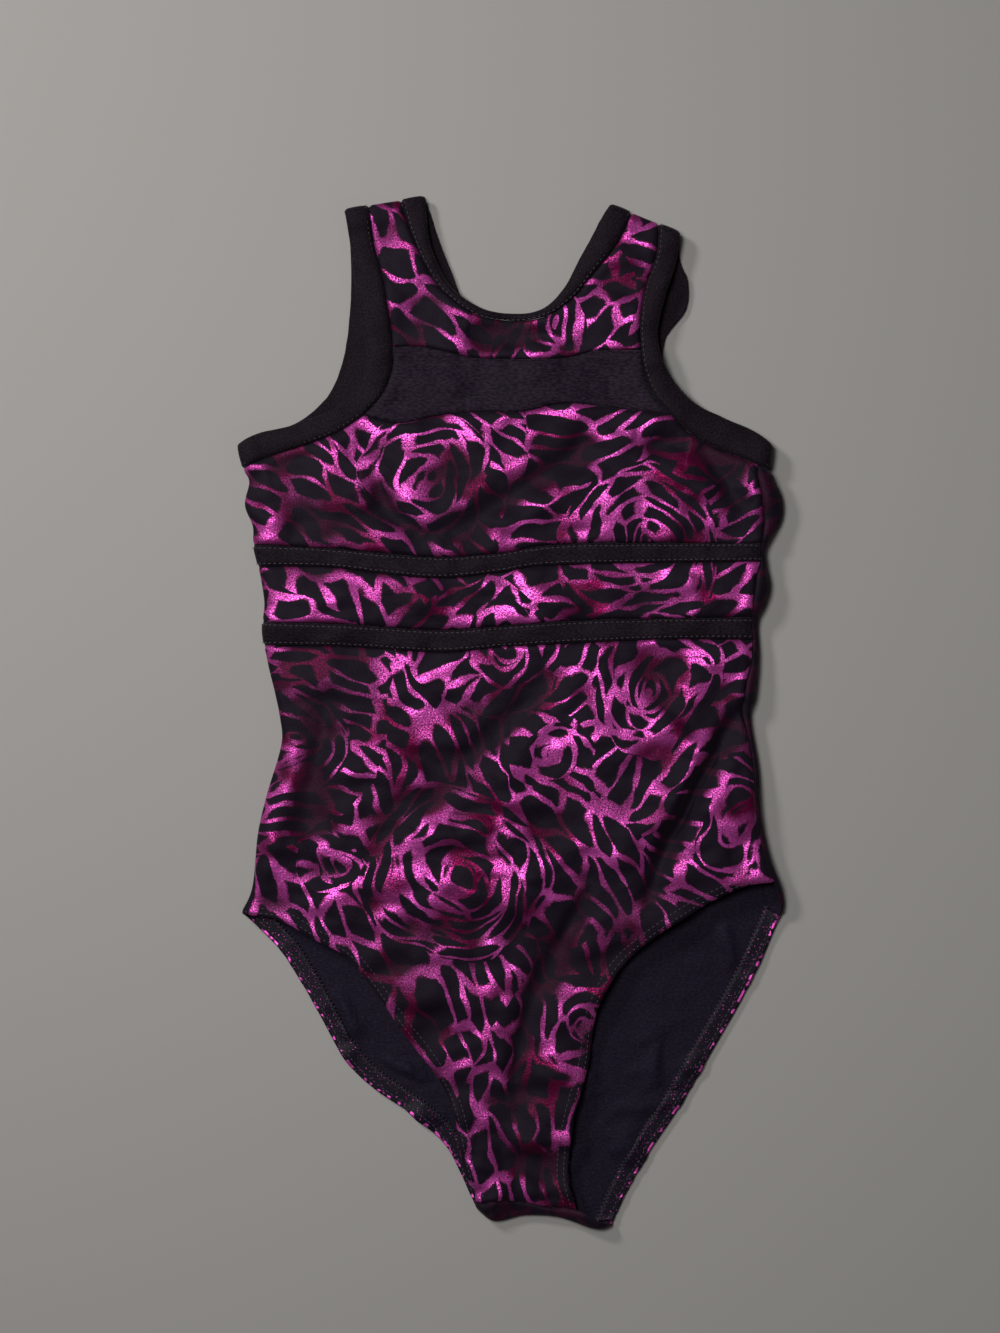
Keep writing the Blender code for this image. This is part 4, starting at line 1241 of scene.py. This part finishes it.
def new_material(name, colour):
    material = bpy.data.materials.new(name)
    material.use_nodes = True
    material.diffuse_color = (*colour, 1.0)
    return material, material.node_tree, material.node_tree.nodes["Principled BSDF"]


def nearest_rose(tree, place):
    """Each point's place in its nearest rose, in millimetres, and how far out it lies, 1 being the rim."""
    best = NO_ROSE
    local = (1.0, 0.0, 0.0)
    for rose in ROSES:
        own = node(
            tree, "Mapping",
            {"Vector": place, "Location": (rose.x, rose.y, 0), "Rotation": (0, 0, rose.turn),
             "Scale": (1, 1, FLATTEN)},
            vector_type="TEXTURE",
        )
        far = node(tree, "VectorMath", {0: own}, "Value", operation="LENGTH")
        out = node(tree, "Math", {0: far, 1: rose.radius}, operation="DIVIDE")
        closer = node(tree, "Math", {0: out, 1: best}, operation="LESS_THAN")
        best = node(tree, "Math", {0: out, 1: best}, operation="MINIMUM")
        number = (0, 0, ROSE_STEP * rose.turn)
        marked = node(tree, "VectorMath", {0: own, 1: number}, operation="ADD")
        local = node(tree, "Mix", {0: closer, 4: local, 5: marked}, 1, data_type="VECTOR")
    return local, best


def edge_distance(tree, place, dimensions, roundness):
    """How near each point is to the edge of its petal or leaf, in shares of its width, ends rounded off."""
    edge, middle_out = [
        node(
            tree, "TexVoronoi", {"Vector": place, "Scale": 1.0, "Randomness": UNEVEN}, "Distance",
            feature=feature, voronoi_dimensions=dimensions,
        )
        for feature in ("DISTANCE_TO_EDGE", "F1")
    ]
    rim = node(tree, "Math", {0: roundness, 1: middle_out}, operation="SUBTRACT")
    return node(tree, "Math", {0: edge, 1: rim, 2: ROUND_BLEND}, operation="SMOOTH_MIN")


def make_printed_tricot(colours):
    """Nylon tricot with a rose print pressed on in foil: matt and nearly black between metal lines."""
    material, tree, surface = new_material("foil_printed_tricot", colours.cloth)
    cut = node(tree, "Attribute", output="Vector", attribute_name=CUT)
    flat = node(tree, "VectorMath", {0: cut, 1: (1, 1, 0)}, operation="MULTIPLY")

    # The lines of the print wander by a few millimetres
    swayed = flat
    for across, reach in PRINT_SWAYS:
        sway = node(tree, "TexNoise", {"Vector": flat, "Scale": 1 / across, "Detail": 0.0}, "Color")
        sway = node(tree, "VectorMath", {0: sway, 1: (0.5, 0.5, 0.5)}, operation="SUBTRACT")
        swayed = node(
            tree, "VectorMath", {0: sway, 1: (reach, reach, 0), 2: swayed}, operation="MULTIPLY_ADD"
        )
    local, out = nearest_rose(tree, swayed)

    # Petals lie in rings round the middle of a rose, and each ring is turned a little more
    own = node(tree, "VectorMath", {0: local, 1: (1, 1, 0)}, operation="MULTIPLY")
    far = node(tree, "VectorMath", {0: own}, "Value", operation="LENGTH")
    twist = node(tree, "Math", {0: far, 1: PETAL_TWIST}, operation="MULTIPLY")
    petal = node(tree, "VectorRotate", {"Vector": own, "Angle": twist}, rotation_type="Z_AXIS")
    rings = node(tree, "Math", {0: far, 1: 1 / PETAL_WIDTH}, operation="MULTIPLY")
    number = node(tree, "SeparateXYZ", {0: local}, 2)
    rings = node(tree, "Math", {0: rings, 1: number}, operation="ADD")
    rings = node(tree, "CombineXYZ", {2: rings})
    lengths = (1 / PETAL_LENGTH, 1 / PETAL_LENGTH, 0)
    petal = node(tree, "VectorMath", {0: petal, 1: lengths, 2: rings}, operation="MULTIPLY_ADD")
    petal_edge = edge_distance(tree, petal, "3D", PETAL_ROUND)

    # Leaves fill what is left, and point another way beside each rose
    panel = node(tree, "SeparateXYZ", {0: cut}, 2)
    shift = node(tree, "CombineXYZ", {0: panel, 1: number})
    shift = node(tree, "VectorMath", {0: shift, 1: LEAF_STEPS}, operation="MULTIPLY")
    leaf = node(tree, "VectorMath", {0: own, 1: shift}, operation="ADD")
    leaf_size = (1 / LEAF_WIDTH, 1 / LEAF_LENGTH, 0)
    leaf = node(tree, "VectorMath", {0: leaf, 1: leaf_size}, operation="MULTIPLY")
    leaf_edge = edge_distance(tree, leaf, "2D", LEAF_ROUND)
    inside = node(tree, "Math", {0: out, 1: 1.0}, operation="LESS_THAN")
    edge = node(tree, "Mix", {0: inside, 2: leaf_edge, 3: petal_edge}, data_type="FLOAT")

    # Lines from about 1 to 5 mm wide, broken here and there
    weight = node(tree, "TexNoise", {"Vector": flat, "Scale": 1 / WEIGHT_PATCH, "Detail": 2.0}, "Fac")
    width = node(
        tree, "MapRange",
        {"Value": weight, "From Min": 0.3, "From Max": 0.72, "To Min": 0.02, "To Max": 0.19},
    )
    grain = node(tree, "TexNoise", {"Vector": flat, "Scale": LINE_GRAIN, "Detail": 3.0}, "Fac")
    ragged = node(tree, "Math", {0: grain, 1: RAGGED, 2: width}, operation="MULTIPLY_ADD")
    ragged = node(tree, "Math", {0: ragged, 1: RAGGED / 2}, operation="SUBTRACT")
    depth = node(tree, "Math", {0: ragged, 1: edge}, operation="SUBTRACT")
    line = node(
        tree, "MapRange", {"Value": depth, "From Min": -0.04, "From Max": 0.035},
        interpolation_type="SMOOTHSTEP",
    )

    # The loops of the knit break the foil into specks, and painted shade darkens it in creases, in the
    # listed places and on the back's roll
    speck = node(tree, "TexNoise", {"Vector": flat, "Scale": SPECK_GRAIN, "Detail": 2.0}, "Fac")
    worn = node(
        tree, "MapRange",
        {"Value": speck, "From Min": 0.36, "From Max": 0.58, "To Min": 0.12, "To Max": 1.0},
    )
    # Painted shade: the foil is dimmed where the cloth's points carry it
    shade_painted = node(tree, "Attribute", output="Fac", attribute_name=PAINTED_SHADE_LAYER)
    unshaded = node(tree, "MapRange", {"Value": shade_painted, "To Min": 1.0, "To Max": 0.15})
    foil = node(tree, "Math", {0: line, 1: worn}, operation="MULTIPLY")
    foil = node(tree, "Math", {0: foil, 1: unshaded}, operation="MULTIPLY")

    # Painted shade: in random patches and under the painted fold shade, the foil takes its darker shaded
    # colour
    shade_tone = node(tree, "TexNoise", {"Vector": flat, "Scale": 1 / SHADE_TONE_PATCH, "Detail": 2.0}, "Fac")
    shade_tone = node(tree, "MapRange", {"Value": shade_tone, "From Min": 0.36, "From Max": 0.53})
    shade_tone = node(tree, "Math", {0: shade_tone, 1: shade_painted}, operation="SUBTRACT", use_clamp=True)
    shade_tone = node(tree, "Math", {0: shade_tone, 1: line}, operation="MULTIPLY")
    tints = [(*tint, 1) for tint in (colours.foil_shaded, colours.foil, colours.cloth)]
    metal = node(tree, "Mix", {0: shade_tone, 6: tints[0], 7: tints[1]}, 2, data_type="RGBA")
    colour = node(tree, "Mix", {0: foil, 6: tints[2], 7: metal}, 2, data_type="RGBA")
    rough = node(tree, "MapRange", {"Value": foil, "To Min": 0.66, "To Max": 0.36})
    knit = node(tree, "TexNoise", {"Vector": flat, "Scale": KNIT_GRAIN, "Detail": 3.0}, "Fac")
    bump = node(tree, "Bump", {"Height": knit, "Strength": 0.5, "Distance": 0.0005})
    feed(tree, surface, {
        "Base Color": colour, "Metallic": foil, "Roughness": rough, "Normal": bump,
        "Specular IOR Level": CLOTH_SPECULAR, "Sheen Weight": 0.04, "Sheen Roughness": 0.4,
    })
    return material


def make_turned_hem(colours):
    """The turned edge of the tricot, seen from inside: dark, with flecks of foil between its threads."""
    material, tree, surface = new_material("turned_tricot_hem", colours.wrong_side)
    cut = node(tree, "Attribute", output="Vector", attribute_name=CUT)
    flat = node(tree, "VectorMath", {0: cut, 1: (1, 1, 0)}, operation="MULTIPLY")
    flecks = node(tree, "TexNoise", {"Vector": flat, "Scale": 1 / FLECK_SPACING, "Detail": 1.0}, "Fac")
    flecks = node(tree, "MapRange", {"Value": flecks, "From Min": 0.67, "From Max": 0.76})

    # Where the edge folds under, the print's lines come over it as dashes
    dash = node(tree, "TexNoise", {"Vector": flat, "Scale": 1 / DASH_SPACING, "Detail": 1.0}, "Fac")
    dash = node(tree, "MapRange", {"Value": dash, "From Min": 0.53, "From Max": 0.61})
    from_fold = node(tree, "SeparateXYZ", {0: cut}, 2)
    on_fold = node(tree, "Math", {0: from_fold, 1: FOLD_SHOWS}, operation="LESS_THAN")
    dash = node(tree, "Math", {0: dash, 1: on_fold}, operation="MULTIPLY")
    foil = node(tree, "Math", {0: flecks, 1: dash}, operation="MAXIMUM")
    dark, bright = (*colours.wrong_side, 1), (*colours.foil, 1)
    colour = node(tree, "Mix", {0: foil, 6: dark, 7: bright}, 2, data_type="RGBA")
    grain = node(tree, "TexNoise", {"Vector": flat, "Scale": 1.0, "Detail": 2.0}, "Fac")
    bump = node(tree, "Bump", {"Height": grain, "Strength": 0.5, "Distance": 0.0004})
    feed(tree, surface, {
        "Base Color": colour, "Metallic": foil, "Roughness": 0.5, "Normal": bump,
        "Specular IOR Level": CLOTH_SPECULAR,
    })
    return material


def make_plain_cloth(name, colour, lighter, grain_mm, stretch, roughness, sheen):
    """Plain knitted cloth: matt, with an uneven grain so many times lighter, as coarse as needs to show."""
    material, tree, surface = new_material(name, colour)
    cut = node(tree, "Attribute", output="Vector", attribute_name=CUT)
    scale = (1 / (grain_mm * stretch), 1 / grain_mm, 0)
    place = node(tree, "Mapping", {"Vector": cut, "Scale": scale})
    grain = node(tree, "TexNoise", {"Vector": place, "Scale": 1.0, "Detail": 3.0}, "Fac")
    share = node(tree, "MapRange", {"Value": grain, "From Min": 0.4, "From Max": 0.75})
    dark, light = (*colour, 1), (*(lighter * c for c in colour), 1)
    tint = node(tree, "Mix", {0: share, 6: dark, 7: light}, 2, data_type="RGBA")
    bump = node(tree, "Bump", {"Height": grain, "Strength": 1.0, "Distance": 0.0004})
    feed(tree, surface, {
        "Base Color": tint, "Roughness": roughness, "Normal": bump,
        "Specular IOR Level": CLOTH_SPECULAR, "Sheen Weight": sheen, "Sheen Roughness": 0.45,
    })
    return material


def make_thread(colour):
    """Spun polyester thread: a dull, slightly fuzzy strand."""
    material, tree, surface = new_material("polyester_thread", colour)
    place = node(tree, "NewGeometry", output="Position")
    twist = node(tree, "TexNoise", {"Vector": place, "Scale": 1500.0}, "Fac")
    dark, light = [(*(share * c for c in colour), 1) for share in (0.5, 1.6)]
    shade = node(tree, "Mix", {0: twist, 6: dark, 7: light}, 2, data_type="RGBA")
    feed(tree, surface, {"Base Color": shade, "Roughness": 0.6})
    return material


Looks = namedtuple("Looks", "printed insert band binding hem thread")
made_looks = {}


def looks_of(scene):
    """The materials of the garment, made once from the colours in the sidebar."""
    colours = scene.leotard_colours
    if "all" not in made_looks:
        inside = make_plain_cloth("tricot_wrong_side", colours.wrong_side, 2.6, 1.2, 1.4, 0.75, 0.04)
        made_looks["all"] = Looks(
            [make_printed_tricot(colours), inside],
            make_plain_cloth("plain_tricot", colours.insert, 5.0, 1.0, 2.5, 0.7, 0.06),
            make_plain_cloth("band_tricot", colours.trim, 7.0, 1.0, 1.5, 0.7, 0.05),
            make_plain_cloth("binding_tricot", colours.trim, 7.0, 1.0, 1, 0.7, 0.05),
            make_turned_hem(colours),
            make_thread(colours.thread),
        )
    return made_looks["all"]


def make_floor(colours):
    """A painted board: pale, matt and even, with a faint roller texture."""
    material, tree, surface = new_material("painted_board", colours.floor)
    place = node(tree, "NewGeometry", output="Position")
    roller = node(tree, "TexNoise", {"Vector": place, "Scale": 400.0}, "Fac")
    bump = node(tree, "Bump", {"Height": roller, "Strength": 0.05, "Distance": 0.0003})
    feed(tree, surface, {"Base Color": (*colours.floor, 1), "Roughness": 0.85, "Normal": bump})
    half = FLOOR_SIZE / 2
    mesh = bpy.data.meshes.new("floor")
    mesh.from_pydata(
        [(-half, -half, FLOOR_Z), (half, -half, FLOOR_Z), (half, half, FLOOR_Z), (-half, half, FLOOR_Z)],
        [], [(0, 1, 2, 3)],
    )
    mesh.materials.append(material)
    add_object("floor", mesh)


# Soft boxes round the garment: place and size in metres, aimed at its middle
Lamp = namedtuple("Lamp", "name place size power")
LAMPS = [
    Lamp("key", (-0.34, 0.25, 1.38), 0.4, 10.0),
    Lamp("rake", (-0.95, 0.80, 0.92), 0.25, 9.0),
    Lamp("fill", (0.9, -0.5, 1.1), 0.9, 0.5),
]
FLOOR_SIZE = 8.0
FLOOR_Z = -0.0004
CAMERA_PLACE = (-0.0055, 0.0241, 1.360)
CAMERA_LENS = 70.0
CAMERA_SENSOR = 36.0
ROOM_LIGHT = 0.03


def make_lights():
    for lamp in LAMPS:
        data = bpy.data.lights.new(lamp.name, "AREA")
        data.shape = "SQUARE"
        data.size = lamp.size
        data.energy = lamp.power
        light = add_object(lamp.name, data)
        light.location = lamp.place
        light.rotation_mode = "QUATERNION"
        light.rotation_quaternion = (-Vector(lamp.place)).to_track_quat("-Z", "Y")
    world = bpy.data.worlds.new("studio")
    world.use_nodes = True
    background = world.node_tree.nodes["Background"]
    feed(world.node_tree, background, {"Color": (1, 1, 1, 1), "Strength": ROOM_LIGHT})
    bpy.context.scene.world = world
    bpy.context.scene.view_settings.view_transform = "Standard"


def make_camera():
    data = bpy.data.cameras.new("camera")
    data.lens = CAMERA_LENS
    data.sensor_width = CAMERA_SENSOR
    camera = add_object("camera", data)
    camera.location = CAMERA_PLACE
    bpy.context.scene.camera = camera


def length_property(name, description, metres):
    return FloatProperty(
        name=name, description=description, default=metres, subtype="DISTANCE", unit="LENGTH", precision=5
    )


def colour_property(name, description, colour):
    return FloatVectorProperty(
        name=name, description=description, default=linear(colour), subtype="COLOR", size=3, min=0, max=1
    )


class LeotardSizes(bpy.types.PropertyGroup):
    """Sizes of the sewing"""

    thread: length_property("Thread", "Thickness of the sewing thread", 0.00045)
    stitch: length_property("Stitch", "Length of one stitch", 0.0022)
    stitch_gap: length_property("Stitch gap", "Cloth left between two stitches", 0.0006)


class LeotardColours(bpy.types.PropertyGroup):
    """Colours of the cloths, the print and the stage"""

    cloth: colour_property("Cloth", "Ground of the printed tricot", "170D1B")
    foil: colour_property("Foil", "Print where it is bright", "FF66D6")
    # Painted shade: a darker, redder copy of the foil, laid in random patches and where the painted fold
    # shade lies
    foil_shaded: colour_property("Deep foil", "Print where it is worn thin", "7C0A46")
    # Partly painted shade: darker than the cloth's own near-black, standing for the shadow inside the leg
    # openings
    wrong_side: colour_property("Wrong side", "Inner face of the tricot", "140F1C")
    insert: colour_property("Insert", "Plain cloth across the chest", "130B15")
    trim: colour_property("Trim", "Bands and bindings", "0A050A")
    thread: colour_property("Thread", "Sewing thread", "443C48")
    floor: colour_property("Floor", "Board that the garment lies on", "A5A29E")


class LEOTARD_OT_stage(bpy.types.Operator):
    """Adds the floor, the soft lights and the camera straight above"""

    bl_idname = "leotard.stage"
    bl_label = "Stage"

    def execute(self, context):
        make_floor(context.scene.leotard_colours)
        make_lights()
        make_camera()
        return {"FINISHED"}


class LEOTARD_OT_back(bpy.types.Operator):
    """Makes the back panel and its leg hems"""

    bl_idname = "leotard.back"
    bl_label = "Back"

    def execute(self, context):
        make_back_panel(looks_of(context.scene), context.scene.leotard_sizes)
        return {"FINISHED"}


class LEOTARD_OT_front_panels(bpy.types.Operator):
    """Makes the printed panels of the front, from the yoke to the crotch"""

    bl_idname = "leotard.front_panels"
    bl_label = "Front panels"

    def execute(self, context):
        looks = looks_of(context.scene)
        make_front_yoke(looks)
        make_front_panel("bust_panel", 0, looks)
        make_front_panel("midriff_panel", 2, looks)
        make_brief_panel(looks, context.scene.leotard_sizes)
        return {"FINISHED"}


class LEOTARD_OT_chest_insert(bpy.types.Operator):
    """Makes the plain insert across the chest"""

    bl_idname = "leotard.chest_insert"
    bl_label = "Chest insert"

    def execute(self, context):
        make_chest_insert(looks_of(context.scene))
        return {"FINISHED"}


class LEOTARD_OT_bands(bpy.types.Operator):
    """Makes the two trim bands round the waist, with their stitching"""

    bl_idname = "leotard.bands"
    bl_label = "Waist bands"

    def execute(self, context):
        looks = looks_of(context.scene)
        make_band("upper_band", 1, looks, context.scene.leotard_sizes)
        make_band("lower_band", 3, looks, context.scene.leotard_sizes)
        return {"FINISHED"}


class LEOTARD_OT_bindings(bpy.types.Operator):
    """Makes the bindings of the neck and the armholes"""

    bl_idname = "leotard.bindings"
    bl_label = "Bindings"

    def execute(self, context):
        make_bindings(looks_of(context.scene), context.scene.leotard_sizes)
        return {"FINISHED"}


OPERATORS = (
    LEOTARD_OT_stage, LEOTARD_OT_back, LEOTARD_OT_front_panels, LEOTARD_OT_chest_insert,
    LEOTARD_OT_bands, LEOTARD_OT_bindings,
)


class LEOTARD_PT_panel(bpy.types.Panel):
    """Sizes, colours and pieces of the leotard"""

    bl_idname = "LEOTARD_PT_panel"
    bl_label = "Gymnastics leotard"
    bl_space_type = "VIEW_3D"
    bl_region_type = "UI"
    bl_category = "Leotard"

    def draw(self, context):
        for group in (context.scene.leotard_sizes, context.scene.leotard_colours):
            for name in group.__annotations__:
                self.layout.prop(group, name)
        for operator in OPERATORS:
            self.layout.operator(operator.bl_idname)


CLASSES = (LeotardSizes, LeotardColours, *OPERATORS, LEOTARD_PT_panel)


def register():
    for each in CLASSES:
        bpy.utils.register_class(each)
    bpy.types.Scene.leotard_sizes = PointerProperty(type=LeotardSizes)
    bpy.types.Scene.leotard_colours = PointerProperty(type=LeotardColours)


def unregister():
    del bpy.types.Scene.leotard_colours
    del bpy.types.Scene.leotard_sizes
    for each in reversed(CLASSES):
        bpy.utils.unregister_class(each)


def main():
    register()
    bpy.ops.leotard.stage()
    bpy.ops.leotard.back()
    bpy.ops.leotard.front_panels()
    bpy.ops.leotard.chest_insert()
    bpy.ops.leotard.bands()
    bpy.ops.leotard.bindings()


if __name__ == "__main__":
    main()
